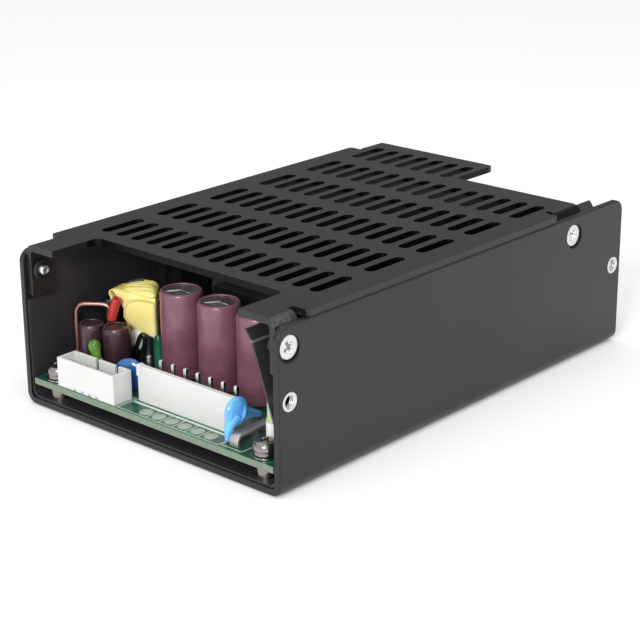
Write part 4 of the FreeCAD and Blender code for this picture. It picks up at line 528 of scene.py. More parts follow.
def easedCopy(name, node, finish, width, segments=3, angle=35):
    # the solid's own form, welded and with its edges eased by `width` mm
    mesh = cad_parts[node].data.copy()
    mesh.materials.clear()
    piece = weld(finishPiece(name, mesh, finish, node), recalculate=False)
    work = bmesh.new()
    work.from_mesh(piece.data)
    bmesh.ops.dissolve_limit(work, angle_limit=math.radians(0.5), verts=work.verts, edges=work.edges)
    work.to_mesh(piece.data)
    work.free()
    bevel = easeEdges(piece, width, segments, angle)
    bevel.harden_normals = True
    bevel.use_clamp_overlap = True
    piece.modifiers.new("flat faces stay flat", "WEIGHTED_NORMAL").keep_sharp = True


# Sheet metal, film and board

def makeEnclosure():
    edge = {"channel": 0.16, "cover": 0.28, "film": 0.06, "board": 0.05}
    easedCopy("channel_sheet", "chassis", "channelPaint", edge["channel"])
    easedCopy("slotted_cover", "cover", "coverPaint", edge["cover"])
    easedCopy("film_liner", "insulation_film", "film", edge["film"], segments=1)
    easedCopy("printed_board", "circuit_board", "board", edge["board"], segments=1)


makeEnclosure()
print("enclosure made")


# Headers

def makeHeaders():
    edge = {"signal": 0.14, "output": 0.16, "pins": 0.12}
    lip = {"x": (-9.45, -8.2), "y": (-57.05, -55.5), "z": (12.9, 15.65)}
    easedCopy("signal_shroud", "signal_header", "nylon", edge["signal"])
    easedCopy("output_housing", "output_header", "nylon", edge["output"])
    easedCopy("input_housing", "input_header", "nylon", edge["output"])
    roundedBlock("header_lip", lip, 0.12, "nylon")
    for node in ("output_header_pins", "signal_header_pins", "input_header_pins"):
        easedCopy(node + "_plated", node, "tin", edge["pins"], angle=25)


makeHeaders()
print("headers made")


# Electrolytic capacitors

def canProfiles(radius, height, sleeve=0.25, bead=0.12):
    # half outlines of the sleeve (with its folded rim) and of the aluminium top inside it
    outer = [(radius - 0.6, 0.5), (radius, 0.6), (radius, 1.7), (radius - bead, 2.6), (radius, 3.5),
             (radius, height - 0.9), (radius - 0.2, height - 0.25), (radius - 0.5, height),
             (radius - 0.9, height - 0.02), (radius - 0.95, height - 0.28)]
    inner = radius - sleeve
    top = [(0, 0), (inner - 0.5, 0), (inner, 0.5), (inner, 1.7), (inner - bead, 2.6), (inner, 3.5),
           (inner, height - 1.2), (inner - 0.3, height - 0.6), (inner - 1.0, height - 0.3),
           (0, height - 0.3)]
    return roundedProfile(outer, 0.35), roundedProfile(top, 0.3)


def ventRidges(name, radius, places, height):
    # relief grooves stand as three thin beads that meet in the middle of the top, 120 degrees apart
    ridge = {"bead": 0.2, "length": radius * 0.7, "first": 115}
    verts, faces = [], []
    t = np.linspace(0, 1, 9)[:, None]
    for at in places:
        for i in range(3):
            a = math.radians(ridge["first"] + 120 * i)
            path = t * np.array([math.cos(a), math.sin(a), 0]) * ridge["length"]
            grid = tubeGrid(path, ridge["bead"] * (1.02 - 0.95 * t[:, 0] ** 4), 10)
            faces.append(gridFaces(9, 10, wrapColumns=True, start=sum(map(len, verts))))
            verts.append(grid.reshape(-1, 3) + np.array(at) + (0, 0, height - 0.3))
    newPiece(name, np.concatenate(verts), np.concatenate(faces), "tin")


def makeCapacitors():
    output = {"radius": 5.1, "height": 21.5, "first": -13.3, "pitch": 12.5, "y": 24.9, "count": 3}
    small = {"height": 12.5, "a": (3.1, -31.1, 12.2), "b": (3.4, -24.8, 14.4)}  # radius, x and y of each
    bulk = {"radius": 11.0, "height": 25.0, "x": -18.5, "y": 76.0}
    start = {"radius": 2.6, "height": 15.4, "x": -35.2, "y": 22.6}

    def makeCan(names, nodes, radius, height, places, sleeve, top, count=72):
        for name, node, profile, finish, slot in zip(names, nodes, canProfiles(radius, height), (sleeve, top),
                                                     ("sleeve_" + sleeve, "can_aluminium")):
            turnedPiece(name, profile, places, finish, node, count)

    row = [(output["first"] + i * output["pitch"], frontY + output["y"], boardTop)
           for i in range(output["count"])]
    makeCan(("output_sleeves", "output_cans"), ("output_capacitor_sleeves", "output_capacitor_cans"),
            output["radius"], output["height"], row, "maroon", "can")
    ventRidges("output_vents", output["radius"], row, output["height"])
    for key in "ab":
        radius, x, y = small[key]
        makeCan((f"bypass_sleeve_{key}", f"bypass_can_{key}"),
                ("bypass_capacitor_sleeves", "bypass_capacitor_cans"), radius, small["height"],
                [(x, frontY + y, boardTop)], "plum", "plum", 56)
    barrel = [(0, 0), (start["radius"], 0), (start["radius"], start["height"] - 0.1),
              (start["radius"] - 0.5, start["height"]), (0, start["height"] - 0.05)]
    turnedPiece("start_barrel", roundedProfile(barrel, 0.6), [(start["x"], frontY + start["y"], boardTop)],
                "glossBlack", "start_capacitor", 48)
    makeCan(("bulk_sleeve", "bulk_can"), ("bulk_capacitor_sleeve", "bulk_capacitor_can"),
            bulk["radius"], bulk["height"], [(bulk["x"], frontY + bulk["y"], boardTop)], "plum", "can")


makeCapacitors()
print("capacitors made")


# Lamps and disc capacitors

def lensProfile(lamp):
    # foot ring, a neck of its own radius and a quarter circle dome
    radius, height = lamp["radius"], lamp["height"]
    a = np.linspace(0, math.pi / 2, 12)
    dome = np.stack([radius * np.cos(a), height - radius + radius * np.sin(a)], -1)
    body = [(0, 0), (lamp["flange"], 0), (lamp["flange"], 0.7), (lamp["neck"], 0.9),
            (lamp["neck"], height * 0.42), (radius, height * 0.62)]
    return roundedProfile(np.vstack([body, dome[1:]]), 0.3)


def makeLamps():
    # the signal lamp leans on its leads, the output lamp stands upright on its spacer
    signal = {"radius": 1.5, "flange": 1.3, "neck": 1.12, "height": 5.5, "lean": -13,
              "at": (-25.0, -55.05, 11.6)}
    output = {"radius": 1.5, "flange": 1.7, "neck": 1.5, "height": 5.3, "at": (31.4, -54.7, 12.4), "lean": 0}
    lead = {"radius": 0.25, "spread": 0.64}
    for name, lamp, node, finish, slot in (("signal_lens", signal, "signal_lamp", "lampGreen", "lamp_green"),
                                           ("output_lens", output, "output_lamp", "lampPale", "lamp_pale")):
        turn = np.array(Matrix.Rotation(math.radians(lamp["lean"]), 3, "Y"))
        turnedPiece(name, lensProfile(lamp), [lamp["at"]], finish, node, 40, turn)
    easedCopy("lamp_stand", "lamp_spacer", "spacer", 0.12)
    x, y, z = signal["at"]
    for i, off in enumerate((-lead["spread"], lead["spread"])):
        path = smoothPath([(x + off, y, boardTop), (x + off * 0.9, y, boardTop + 2), (x + off, y, z + 0.3)])
        tubePiece(f"signal_lead_{i}", path, lead["radius"], "tin", "signal_lamp_leads")


makeLamps()


def dippedDisc(name, disc, finish, node):
    # a lens whose half thickness falls off as (1 - r^2.6)^0.55 from its middle, stood on its edge
    r = np.sin(np.linspace(0, math.pi / 2, 14))
    depth = (1 - r ** 2.6) ** 0.55
    profile = np.vstack([np.stack([r * disc["radius"], -depth * disc["thickness"] / 2], -1),
                         np.stack([r * disc["radius"], depth * disc["thickness"] / 2], -1)[::-1][1:]])
    turn = np.array(Matrix.Rotation(math.radians(disc["heading"]), 3, "Z")
                    @ Matrix.Rotation(math.radians(90), 3, "X"))
    turnedPiece(name, profile, [disc["at"]], finish, node, 48, turn)


def drip(name, points, thin, thick, power, finish, node):
    # a run of the coat down a lead: its radius falls from thick to thin as (1 - t)^power
    path = smoothPath(points)
    t = np.linspace(0, 1, len(path))
    tubePiece(name, path, thin + (thick - thin) * (1 - t) ** power, finish, node)


def makeDiscs():
    bright = {"radius": 3.4, "thickness": 3.0, "heading": 90, "at": (23.12, -57.7, 13.2), "lead": 0.3}
    dark = {"radius": 4.0, "thickness": 2.6, "heading": 25, "at": (-15.2, -53.9, 10.7),
            "thin": 0.42, "thick": 1.02}
    dippedDisc("bright_disc", bright, "sky", "bright_disc_capacitor")
    dippedDisc("dark_disc", dark, "navy", "dark_disc_capacitor")
    # the coat runs down the straight front lead and along the splayed rear one
    x, y, z = bright["at"]
    runs = {
        "front": {"thin": 0.6, "thick": 1.9,
                  "drop": [(-0.6, -0.6), (-1.8, -2.0), (-2.6, -3.6), (-2.95, -5.8)]},
        "rear": {"thin": 0.72, "thick": 2.3, "drop": [(0.4, -0.1), (2.6, -1.1), (4.8, -1.9), (7.1, -2.75)]},
    }
    for name, run in runs.items():
        drop = [(x, y + along, z + up) for along, up in run["drop"]]
        drip(f"bright_drip_{name}", drop, run["thin"], run["thick"], 1.2, "sky",
             "bright_disc_leads")
    leads = {
        "front": [(x, y - 2.95, z - 5.4), (x, y - 2.9, boardTop)],
        "rear": [(x, y + 6.8, z - 2.7), (x, y + 7.2, z - 3.2), (x, y + 7.2, boardTop)],
    }
    for name, path in leads.items():
        tubePiece(f"bright_lead_{name}", path, bright["lead"], "tin", "bright_disc_leads")
    x, y, z = dark["at"]
    heading = math.radians(dark["heading"])
    for i, side in enumerate((-1, 1)):
        points = [(x + side * reach * math.cos(heading), y + side * reach * math.sin(heading), height)
                  for reach, height in ((1.1, z + 0.4), (1.7, z - 1.4), (2.0, z - 2.9), (2.0, boardTop))]
        drip(f"dark_drip_{i}", points, dark["thin"], dark["thick"], 1.5, "navy",
             "dark_disc_capacitor")


makeDiscs()
print("lamps and discs made")


# Wires and strap

def makeWires():
    link = [(-38, -49.9, 6.6), (-38, -49.9, 12), (-38, -49.9, 19.2), (-37.6, -49.65, 20.9),
            (-36.6, -49.05, 21.8), (-34.2, -47.5, 21.95), (-32.0, -46.0, 21.8), (-31.1, -45.4, 20.9),
            (-30.9, -45.2, 19.0), (-30.9, -45.2, 13), (-30.9, -45.2, 6.6)]
    lead = [(-29.2, -46.6, 6.6), (-29.2, -46.6, 14), (-29.2, -46.6, 18.6), (-28.5, -46.4, 21.4),
            (-27.7, -46.15, 23.7)]
    tube = [(-29.05, -46.6, 18.9), (-28.6, -46.45, 21.0), (-27.9, -46.25, 23.2), (-27.4, -46.1, 24.4)]
    radius = {"link": 0.66, "lead": 0.42, "tube": 1.1, "bore": 0.62}
    tubePiece("copper_link_wire", smoothPath(link, 8), radius["link"], "copper", "copper_link")
    tubePiece("winding_lead_wire", smoothPath(lead, 8), radius["lead"], "tin", "winding_lead")
    path = smoothPath(tube, 8)
    grid = np.concatenate([tubeGrid(path, radius["tube"], 24), tubeGrid(path, radius["bore"], 24)[::-1]])
    faces = gridFaces(len(grid), 24, wrapRows=True, wrapColumns=True)
    weld(newPiece("red_tube", grid.reshape(-1, 3), faces, "redTube", "lead_tube"), 1e-8)


def makeStrap():
    # a flat bar carried along a bridge-shaped path in the YZ plane, with a quarter circle at each shoulder
    strap = {"x": 25.32, "width": 2.6, "thickness": 0.8, "front": -61.1, "rear": -49.1, "top": 9.5, "bend": 1.3,
             "edge": 0.12}
    half = strap["thickness"] / 2
    a = np.linspace(0, math.pi / 2, 8)
    inward, up = strap["bend"] * (1 - np.cos(a)), strap["top"] - half - strap["bend"] * (1 - np.sin(a))
    front = np.stack([strap["front"] + half + inward, up], -1)
    rear = np.stack([strap["rear"] - half - inward, up], -1)[::-1]
    line = np.vstack([[(strap["front"] + half, boardTop)], front, rear, [(strap["rear"] - half, boardTop)]])
    way = np.gradient(line, axis=0)
    way /= np.linalg.norm(way, axis=1)[:, None]
    across = np.stack([-way[:, 1], way[:, 0]], -1) * half
    ring = [(line + across, -1), (line + across, 1), (line - across, 1), (line - across, -1)]
    grid = np.stack([np.column_stack([np.full(len(line), strap["x"] + side * strap["width"] / 2), part])
                     for part, side in ring], 1)
    piece = gridPiece("tinned_bridge", [grid], "dullTin", "output_strap", capped=True)
    easeEdges(piece, strap["edge"], 2)


makeWires()
makeStrap()
print("wires and strap made")


# Taped transformer

tapePlane = {"left": (-31.0, -44.6), "right": (-18.8, -41.6)}  # foot points of the turned front


def onTape(s, z, out):
    # a point `s` mm along the turned front, `z` mm up and `out` mm in front of it
    a, b = np.array(tapePlane["left"]), np.array(tapePlane["right"])
    along = (b - a) / np.linalg.norm(b - a)
    normal = np.array([along[1], -along[0]])
    s, z, out = np.broadcast_arrays(*(np.asarray(part, float) for part in (s, z, out)))
    flat = a + s[..., None] * along + out[..., None] * normal
    return np.concatenate([flat, z[..., None]], -1)


def makeBarrel():
    # a squared tube of tape: each ring is a superellipse between the left edge at its height and the right
    # edge, its foot is scalloped in front, and its lid is a low dome with creases across it
    barrel = {"right": 12.6, "depth": 8.4, "taper": 2.2, "foot": 13.9, "top": 25.5, "dome": 1.4, "power": 0.4,
              "crease": 0.26}
    leftEdge = np.array([(13.9, 4.6), (16.7, 4.4), (17.5, 3.3), (18.8, 2.2), (20.6, 2.3), (22.2, 2.1),
                         (25.5, 1.4)])
    foot = np.array([(4.7, 13.9), (5.9, 13.9), (7.1, 15.6), (8.4, 16.2), (9.8, 15.7), (12.4, 14.8)])
    count, rows, lids = 144, 40, 26
    t = np.linspace(0, 2 * math.pi, count, endpoint=False)
    ex = np.sign(np.cos(t)) * np.abs(np.cos(t)) ** barrel["power"]
    ey = np.sign(np.sin(t)) * np.abs(np.sin(t)) ** barrel["power"]
    v = np.linspace(0, 1, rows)[:, None]
    left = np.interp(barrel["foot"] + v * (barrel["top"] - barrel["foot"]), leftEdge[:, 0], leftEdge[:, 1])
    middle, half = (left + barrel["right"]) / 2, (barrel["right"] - left) / 2
    s = middle + half * ex - barrel["taper"] * (1 - ey) * np.clip(ex, 0, 1)
    out = barrel["depth"] / 2 * (ey - 1) + 0.25 * np.sin(v * math.pi) * np.clip(ey, 0, 1)
    low = np.where(ey > 0, np.interp(s, foot[:, 0], foot[:, 1]), barrel["foot"])
    walls = onTape(s, low + v * (barrel["top"] - low), out)
    k = np.linspace(1, 0, lids + 1)[1:, None]
    sLid = middle[-1] + (s[-1] - middle[-1]) * k
    outLid = barrel["depth"] / 2 * (ey * k - 1)
    fold = np.abs(((outLid * 0.8 + sLid * 0.16) % 1.0) - 0.5) * 2
    zLid = (barrel["top"] + barrel["dome"] * (1 - k ** 4)
            + barrel["crease"] * (fold - 0.5) * np.minimum(1, (1 - k) * 5))
    zLid[-1] = zLid[-1].mean()
    bottom = np.broadcast_to(onTape(middle[0, 0], barrel["foot"], -barrel["depth"] / 2), (1, count, 3))
    grid = np.concatenate([bottom, walls, onTape(sLid, zLid, outLid)])
    gridPiece("taped_barrel", [grid], "tape", "auxiliary_winding")


def makeFlap():
    # a ruled sheet between the top edge and the curved lower edge of the tape's loose end
    flap = {"thickness": 0.16, "rise": 0.28, "belly": 0.3, "tuck": 0.15}
    top = [(0.5, 25.62), (1.4, 25.75), (2.5, 25.72), (4.8, 25.58), (7.3, 25.4), (10.1, 25.25), (12.6, 25.15)]
    low = [(0.9, 25.2), (1.85, 23.9), (2.5, 22.5), (3.5, 21.3), (4.4, 22.2), (5.5, 23.05), (7.4, 23.7),
           (9.5, 23.85), (12.6, 23.8)]

    def evenly(points, count=60):
        line = smoothPath(points, 12)
        share = np.linspace(0, 1, len(line))
        return np.column_stack([np.interp(np.linspace(0, 1, count), share, line[:, i]) for i in (0, 1)])

    topLine, lowLine = evenly(top), evenly(low)
    v = np.linspace(0, 1, 14)[None, :]
    s, z = (topLine[:, i:i + 1] * (1 - v) + lowLine[:, i:i + 1] * v for i in (0, 1))
    sheet = onTape(s, z, flap["rise"] + flap["belly"] * np.sin(v * math.pi) - flap["tuck"] * v)
    thicken(newPiece("tape_flap", sheet.reshape(-1, 3), gridFaces(60, 14), "tape",
                     "auxiliary_winding"), flap["thickness"])


def makeCurl():
    # the same strip seen on edge, a curve carried straight back: it comes up from behind, rolls over to
    # the left and joins the lid
    curl = {"width": 5.2, "thickness": 0.24, "front": 0.35}
    line = smoothPath([(0.35, 22.9), (-0.15, 23.7), (-0.5, 24.6), (-0.2, 25.35), (0.45, 25.66), (1.4, 25.8),
                       (2.8, 25.78), (5.0, 25.66)], 8)
    out = np.linspace(curl["front"], curl["front"] - curl["width"], 8)[None, :]
    sheet = onTape(line[:, :1], line[:, 1:], out)
    thicken(newPiece("tape_curl", sheet.reshape(-1, 3), gridFaces(len(line), 8), "tape",
                     "auxiliary_winding"), curl["thickness"], offset=0)


def makeWindingDetails():
    # what shows under the tape: the dark wound body, a lump of silicone (a ball with waves on its radius), a
    # black wire hook and a dipped capacitor
    core = {"x": (-26.6, -19.6), "y": (-41.9, -35.6), "z": (9.2, 15.6)}
    lump = {"s": 6.6, "z": 13.9, "out": -0.2, "radii": (2.0, 1.1, 2.7)}
    hook = np.array([(6.6, 6.7), (6.7, 9.6), (7.1, 12.0), (7.8, 14.2), (8.5, 15.6), (9.2, 15.9), (9.6, 15.1),
                     (9.4, 13.4), (8.7, 11.6), (8.3, 9.8), (8.4, 8.2)])
    wire = {"radius": 0.52, "out": 1.0}
    dipped = {"x": (-18.0, -15.9), "y": (-44.0, -42.5), "z": (boardTop, 17.0)}
    roundedBlock("dark_winding", core, 0.22, "blackTape", "auxiliary_winding")
    a = np.linspace(0, math.pi, 20)[:, None]
    b = np.linspace(0, 2 * math.pi, 32, endpoint=False)[None, :]
    wobble = 1 + 0.10 * np.sin(3 * b + 2 * a) * np.sin(a) + 0.06 * np.cos(5 * a + b) * np.sin(a)
    x = lump["radii"][0] * wobble * np.sin(a) * np.cos(b)
    y = lump["radii"][1] * wobble * np.sin(a) * np.sin(b)
    z = lump["radii"][2] * np.cos(a) * np.ones_like(b)
    ball = onTape(lump["s"] + x, lump["z"] + z, lump["out"] + y)
    gridPiece("silicone_lump", [ball], "silicone")
    path = smoothPath(onTape(hook[:, 0], hook[:, 1], wire["out"]), 8)
    tubePiece("black_hook", path, wire["radius"], "glossBlack", count=14)
    roundedBlock("green_dipped", dipped, 0.6, "greenDip")


def makeTapeEnd():
    # the clear tail of the tape stands up behind the lid
    tail = {"thickness": 0.08,
            "corners": [(1.4, 26.4, -4.6), (5.4, 27.7, -5.3), (5.9, 26.3, -5.3), (2.2, 25.6, -4.6)]}
    s, z, out = np.array(tail["corners"]).T
    thicken(newPiece("clear_tape_end", onTape(s, z, out), [[0, 1, 2, 3]], "film", smooth=False),
            tail["thickness"])


makeBarrel()
makeFlap()
makeCurl()
makeWindingDetails()
easedCopy("bobbin_foot", "auxiliary_bobbin", "black", 0.2)
makeTapeEnd()
print("taped transformer made")


# Fasteners

turns = {
    "right": np.array([[0, 0, 1], [0, 1, 0], [-1, 0, 0]], float),  # local Z points to +X
    "left": np.array([[0, 0, -1], [0, 1, 0], [1, 0, 0]], float),  # local Z points to -X
}


def recessedHead(name, places, head, turn, finish, node):
    # a screw head with a cross recess: the turned face is pushed in where |x| or |y| is small
    count = 96
    a = np.linspace(0, 2 * math.pi, count, endpoint=False)
    reach, angle = np.meshgrid(np.linspace(0, 1, 40) * head["radius"], a, indexing="ij")
    x, y = reach * np.cos(angle), reach * np.sin(angle)
    half, arm = head["slot"], head["arm"]

    def groove(u, w):
        across = np.clip((half - np.abs(u)) / (half * 0.45), 0, 1)
        return across * np.clip((arm - np.abs(w)) / (arm * 0.35), 0, 1)

    z = (head["dome"] * (1 - (reach / head["radius"]) ** 2)
         - head["depth"] * np.maximum(groove(x, y), groove(y, x)))
    grid = np.concatenate([np.stack([x, y, z], -1), turnedGrid(head["under"], count)])
    heads = []
    for at, spin in places:
        c, s = math.cos(spin), math.sin(spin)
        spun = grid @ np.array([[c, -s, 0], [s, c, 0], [0, 0, 1]]).T
        heads.append(moved(spun, at, turn))
    gridPiece(name, heads, finish, node)


def makeCoverScrews():
    screw = {"radius": 2.62, "dome": 0.0, "depth": 1.3, "arm": 1.5, "slot": 0.4, "x": 40.9,
             "under": [(2.62, -0.06), (1.25, -1.44), (1.2, -4.6), (1.0, -4.9), (0.6, -4.9), (0, -4.2)]}
    for side, sign, spins in (("right", 1, (0.5, 1.1)), ("left", -1, (0.3, 0.9))):
        places = [((sign * screw["x"], y, coverScrews["z"]), spin)
                  for y, spin in zip(coverScrews[side], spins)]
        recessedHead(f"{side}_cover_screws", places, screw, turns[side], "zinc",
                     "cover_screws")


def makeBoardScrews():
    screw = {"radius": 1.9, "dome": 0.35, "depth": 1.1, "arm": 1.5, "slot": 0.36, "top": 10.15,
             "under": [(2.45, -0.12), (2.8, -0.75), (2.9, -1.5), (2.88, -1.95), (2.75, -2.05), (1.2, -2.05),
                       (1.2, -7.6), (0, -7.6)]}
    washer = {"bore": 1.6, "radius": 3.1, "thickness": 0.5}
    spring = {"bore": 1.7, "radius": 2.75, "thickness": 0.78, "climb": 0.28,
              "from": 12, "to": 348, "steps": 56}
    xs, ys = (-33.6, 33.6), (-59.6, 59.1)
    places = [((x, y, screw["top"]), 0.4 + i) for i, (x, y) in enumerate((x, y) for y in ys for x in xs)]
    recessedHead("board_screw_heads", places, screw, None, "nickel", "board_screws")
    inner, outer, high = washer["bore"], washer["radius"], washer["thickness"]
    flat = roundedProfile([(inner, 0), (outer, 0), (outer, high), (inner, high), (inner, 0)], 0.08)
    holes = [(x, y, boardTop) for x in xs for y in ys]
    turnedPiece("plain_washers", flat, holes, "nickel", "board_flat_washers", 48)
    # spring washers: a square wire carried round less than a full turn while it climbs
    sweep = np.linspace(math.radians(spring["from"]), math.radians(spring["to"]), spring["steps"])
    climb = (sweep - sweep[0]) / (sweep[-1] - sweep[0]) * spring["climb"]
    radius = np.array([spring["bore"], spring["radius"], spring["radius"], spring["bore"]])
    rise = np.array([0, 0, spring["thickness"], spring["thickness"]]) + washer["thickness"]
    ring = np.stack([radius * np.cos(sweep)[:, None], radius * np.sin(sweep)[:, None],
                     rise + climb[:, None]], -1)
    gridPiece("split_washers", [ring + hole for hole in holes], "nickel",
              "board_spring_washers", capped=True, smooth=False)


def threadedRing(ring):
    # half outline of a ring with a tapped bore: the thread's radius rises and falls once in each pitch
    outer, mouth, length = ring["outer"], ring["core"] + ring["flare"], ring["length"]
    tapped = length - 2 * ring["lip"]
    h = np.linspace(0, tapped, max(int(tapped / ring["pitch"] * 8), 6))
    r = ring["core"] + 0.16 * (0.5 - 0.5 * np.cos(h / ring["pitch"] * 2 * math.pi))
    thread = np.stack([r, h + ring["lip"]], -1)[::-1]
    rim = [(outer, 0), (outer, length - ring["edge"]), (outer - ring["edge"], length), (mouth, length)]
    return np.vstack([rim, thread, [(mouth, 0), (outer, 0)]])


def makeInserts():
    insert = {"outer": 2.2, "core": 1.25, "length": 1.6, "lip": 0.22, "edge": 0.08, "flare": 0.3, "pitch": 0.5}
    nut = {"outer": 2.4, "core": 1.3, "length": 1.0, "lip": 0.2, "edge": 0.15, "flare": 0.25, "pitch": 0.5}
    insertPlace = {"x": 39.7, "end": 3.4, "z": 21.1}
    nutX = 38.0
    rows = (frontY + insertPlace["end"], -frontY - insertPlace["end"])
    for side, sign in (("right", 1), ("left", -1)):
        places = [(sign * insertPlace["x"], y, insertPlace["z"]) for y in rows]
        turnedPiece(f"{side}_inserts", threadedRing(insert), places, "zinc",
                    "side_inserts", 48, turns[side])
    for side, sign, other in (("right", 1, "left"), ("left", -1, "right")):
        places = [(sign * nutX, y, coverScrews["z"]) for y in coverScrews[side]]
        turnedPiece(f"{side}_clinch_nuts", threadedRing(nut), places, "channelPaint",
                    "cover_clinch_nuts", 40, turns[other])
    easedCopy("clinched_standoffs", "board_standoffs", "nickel", 0.08, segments=2)


makeCoverScrews()
makeBoardScrews()
makeInserts()
print("fasteners made")


# Printed legend and solder pads on the board

def makeLegend():
    # thin strips of ink lie 0.02 mm above the lacquer; an outline is x0, x1, then y0, y1 from the front
    ink = {"rise": 0.02, "line": 0.18,
           "pads": (-10.4, 21.9, 1.0, 5.7), "output": (-10.4, 21.9, 6.1, 13.4),
           "signal": (-31.2, -10.8, 0.9, 7.4), "disc": (22.2, 28.6, 1.6, 14.8),
           "bar": (-9.6, 21.0, 5.75, 6.05), "ticks": (1.2, 5.5)}
    pads = {"first": -3.1, "pitch": 4.14, "y": 3.3, "radius": 1.7, "count": 6}
    line = ink["line"]
    strips = [ink["bar"]]
    for x0, x1, y0, y1 in (ink["pads"], ink["output"], ink["signal"], ink["disc"]):
        strips += [(x0, x1, y0, y0 + line), (x0, x1, y1 - line, y1),
                   (x0, x0 + line, y0 + line, y1 - line), (x1 - line, x1, y0 + line, y1 - line)]
    for i in range(pads["count"] - 1):
        x = pads["first"] + (i + 0.5) * pads["pitch"]
        strips.append((x - line / 2, x + line / 2, *ink["ticks"]))
    x0, x1, y0, y1 = np.array(strips).T
    z = np.full(len(strips), boardTop + ink["rise"])
    corners = [np.stack([x, y + frontY, z], -1) for x, y in ((x0, y0), (x1, y0), (x1, y1), (x0, y1))]
    faces = np.arange(len(strips) * 4).reshape(-1, 4)
    lines = newPiece("legend_lines", np.stack(corners, 1).reshape(-1, 3), faces, "legend",
                     smooth=False)
    thicken(lines, ink["rise"])
    profile = [(0, 0), (pads["radius"], 0), (pads["radius"] - 0.1, 0.08), (0, 0.2)]
    places = [(pads["first"] + i * pads["pitch"], frontY + pads["y"], boardTop + 0.01)
              for i in range(pads["count"])]
    turnedPiece("solder_pads", profile, places, "fluxedPad", count=36)


makeLegend()
print("legend made")


# Pieces inside that show through the slots and the rear cut-out

def dressInside():
    kept = {
        "ferrite": ("auxiliary_core", "power_transformer_core"),
        "blackTape": ("power_transformer_winding",),
        "black": ("power_transformer_bobbin", "primary_devices", "secondary_devices", "boost_choke_foot",
                  "output_choke_foot", "filter_choke_foot", "control_packages"),
        "sink": ("primary_heatsink", "secondary_heatsink"),
        "winding": ("boost_choke", "output_choke", "filter_choke"),
        "ceramic": ("fuse_tube",),
        "nickel": ("fuse_caps",),
        "board": ("control_board",),
    }
    for finish, nodes in kept.items():
        for node in nodes:
            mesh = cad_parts[node].data
            mesh.materials.clear()
            mesh.materials.append(finishes[finish])


def nodeBox(node):
    # the two far corners of a solid, in mm
    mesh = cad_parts[node].data
    points = np.empty(len(mesh.vertices) * 3)
    mesh.vertices.foreach_get("co", points)
    points = points.reshape(-1, 3) / mm
    return points.min(0), points.max(0)


def makeInputDiscs():
    # varistor, thermistor and the two safety capacitors by the input header, each dipped and on coated legs
    leg = {"share": 0.5, "top": 1.3, "foot": 0.6}
    rows = {
        "varistor": ("varistor", "navy", "disc_navy", 0, 1),
        "thermistor": ("thermistor", "glossBlack", "epoxy_black", 0, 1),
        "safety_discs": ("safety_capacitors", "navy", "disc_navy", 90, 2),
    }
    for name, (node, finish, slot, heading, count) in rows.items():
        low, high = nodeBox(node)
        across = 1 if heading else 0  # the axis the disc's face lies along
        step = np.eye(3)[across]
        radius = (high[across] - low[across]) / 2 if count == 1 else min((high[2] - low[2]) / 2, 4.0)
        scale = min(1, radius / 6 + 0.3)
        for i in range(count):
            at = (low + high) / 2
            if count > 1:
                at[across] = low[across] + radius if i == 0 else high[across] - radius
            at[2] = high[2] - radius
            disc = {"radius": radius, "thickness": (high - low)[1 - across], "heading": heading, "at": at}
            dippedDisc(f"{name}_{i}", disc, finish, node)
            for side in (-1, 1):
                reach = side * step * radius * leg["share"]
                foot = (at + reach) * (1, 1, 0)
                points = [at + reach * 0.8 + (0, 0, -radius * 0.3), at + reach + (0, 0, -radius * 0.8),
                          foot + (0, 0, boardTop + 0.8), foot + (0, 0, boardTop)]
                drip(f"{name}_{i}_leg_{(side + 1) // 2}", points, leg["foot"] * scale, leg["top"] * scale, 1.5,
                     finish, node)


dressInside()
makeInputDiscs()
easedCopy("boxed_capacitors", "film_capacitors", "box", 0.5)
print("inside dressed")


# Floor, light and camera

def makeStage():
    size, drop = 6.0, 0.0002
    floor = bpy.data.meshes.new("floor")
    corners = [(-size, -size, 0), (size, -size, 0), (size, size, 0), (-size, size, 0)]
    floor.from_pydata(corners, [], [(0, 1, 2, 3)])
    ground = bpy.data.objects.new("floor", floor)
    bpy.context.scene.collection.objects.link(ground)
    # painted board under soft light: pale, dry, with a trace of glow that keeps it white to its edge
    material, shader = newMaterial("pale_floor", "#F2F2F2", 0.9)[::2]
    shader.inputs["Specular IOR Level"].default_value = 0.1
    shader.inputs["Emission Color"].default_value = (1, 1, 1, 1)
    shader.inputs["Emission Strength"].default_value = 0.06
    floor.materials.append(material)
    ground.location.z = -drop


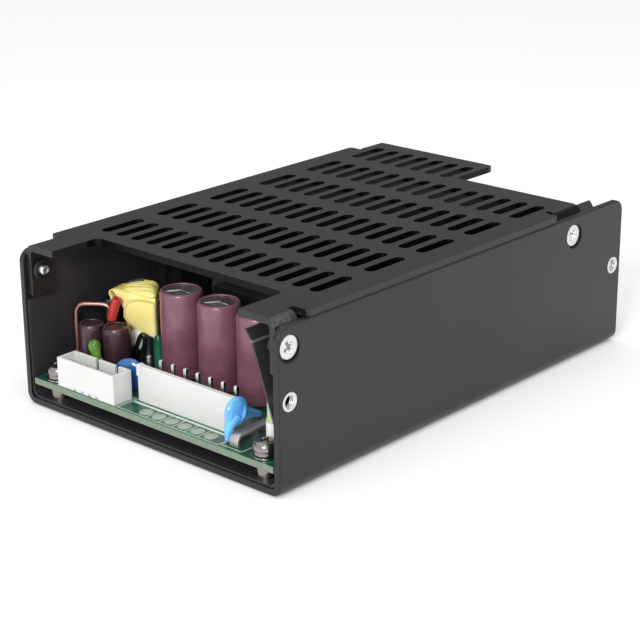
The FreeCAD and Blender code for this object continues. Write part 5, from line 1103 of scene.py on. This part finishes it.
def makeStudio():
    # a white tent: bright overhead and on the camera's side, with a dark band low behind the part
    tent = {"away": (-0.67, 0.74, 0.0), "top": 1.15, "front": 0.95, "band": 0.25}
    lights = {
        "top": {"at": (0.15, -0.15, 0.8), "aim": (0, 0, 0), "size": 0.35, "power": 1.0},
        "front": {"at": (0.35, -0.75, 0.42), "aim": (0, -0.05, 0.02), "size": 0.22, "power": 4.2},
    }
    world = bpy.data.worlds.new("studio")
    bpy.context.scene.world = world
    world.use_nodes = True
    tree = world.node_tree
    background = tree.nodes["Background"]
    background.inputs["Color"].default_value = (1, 1, 1, 1)
    way = addNode(tree, "ShaderNodeTexCoord", {}).outputs["Generated"]
    smooth = {"interpolation_type": "SMOOTHSTEP"}
    split = addNode(tree, "ShaderNodeSeparateXYZ", {"Vector": way})
    height = addNode(tree, "ShaderNodeMapRange", {**smooth, "Value": split.outputs["Z"], "From Min": 0.42,
                                                  "From Max": 0.75, "To Min": tent["band"],
                                                  "To Max": tent["top"]})
    away = addNode(tree, "ShaderNodeVectorMath", {"operation": "DOT_PRODUCT", 0: way, 1: tent["away"]})
    behind = addNode(tree, "ShaderNodeMapRange", {**smooth, "Value": away.outputs["Value"], "From Min": -0.1,
                                                  "From Max": 0.55})
    glow = mixed(tree, behind.outputs["Result"], tent["front"], height.outputs["Result"], "FLOAT")
    tree.links.new(glow, background.inputs["Strength"])
    for name, lamp in lights.items():
        data = bpy.data.lights.new(name, "AREA")
        data.shape = "SQUARE"
        data.size = lamp["size"]
        data.energy = lamp["power"]
        light = bpy.data.objects.new(name, data)
        bpy.context.scene.collection.objects.link(light)
        light.location = lamp["at"]
        aim = Vector(lamp["aim"]) - Vector(lamp["at"])
        light.rotation_euler = aim.to_track_quat("-Z", "Y").to_euler()


def makeCamera():
    # solved from the photograph: azimuth, elevation and roll in degrees, eye in mm
    shot = {"azimuth": 42.133, "elevation": 19.909, "roll": -0.422, "lens": 100.52,
            "eye": (275.4, -309.5, 163.0)}
    a, e, roll = (math.radians(shot[key]) for key in ("azimuth", "elevation", "roll"))
    right = np.array([math.cos(a), math.sin(a), 0])
    back = np.array([math.sin(a) * math.cos(e), -math.cos(a) * math.cos(e), math.sin(e)])
    up = np.cross(back, right)
    pose = np.eye(4)
    pose[:3, 0] = math.cos(roll) * right + math.sin(roll) * up
    pose[:3, 1] = -math.sin(roll) * right + math.cos(roll) * up
    pose[:3, 2] = back
    pose[:3, 3] = np.array(shot["eye"]) * mm
    data = bpy.data.cameras.new("camera")
    data.lens = shot["lens"]
    data.sensor_width = 36
    data.clip_start = 0.01
    camera = bpy.data.objects.new("camera", data)
    bpy.context.scene.collection.objects.link(camera)
    camera.matrix_world = Matrix(pose.tolist())
    bpy.context.scene.camera = camera


makeStage()
makeStudio()
makeCamera()
bpy.context.scene.view_settings.view_transform = "Standard"
print("stage set")
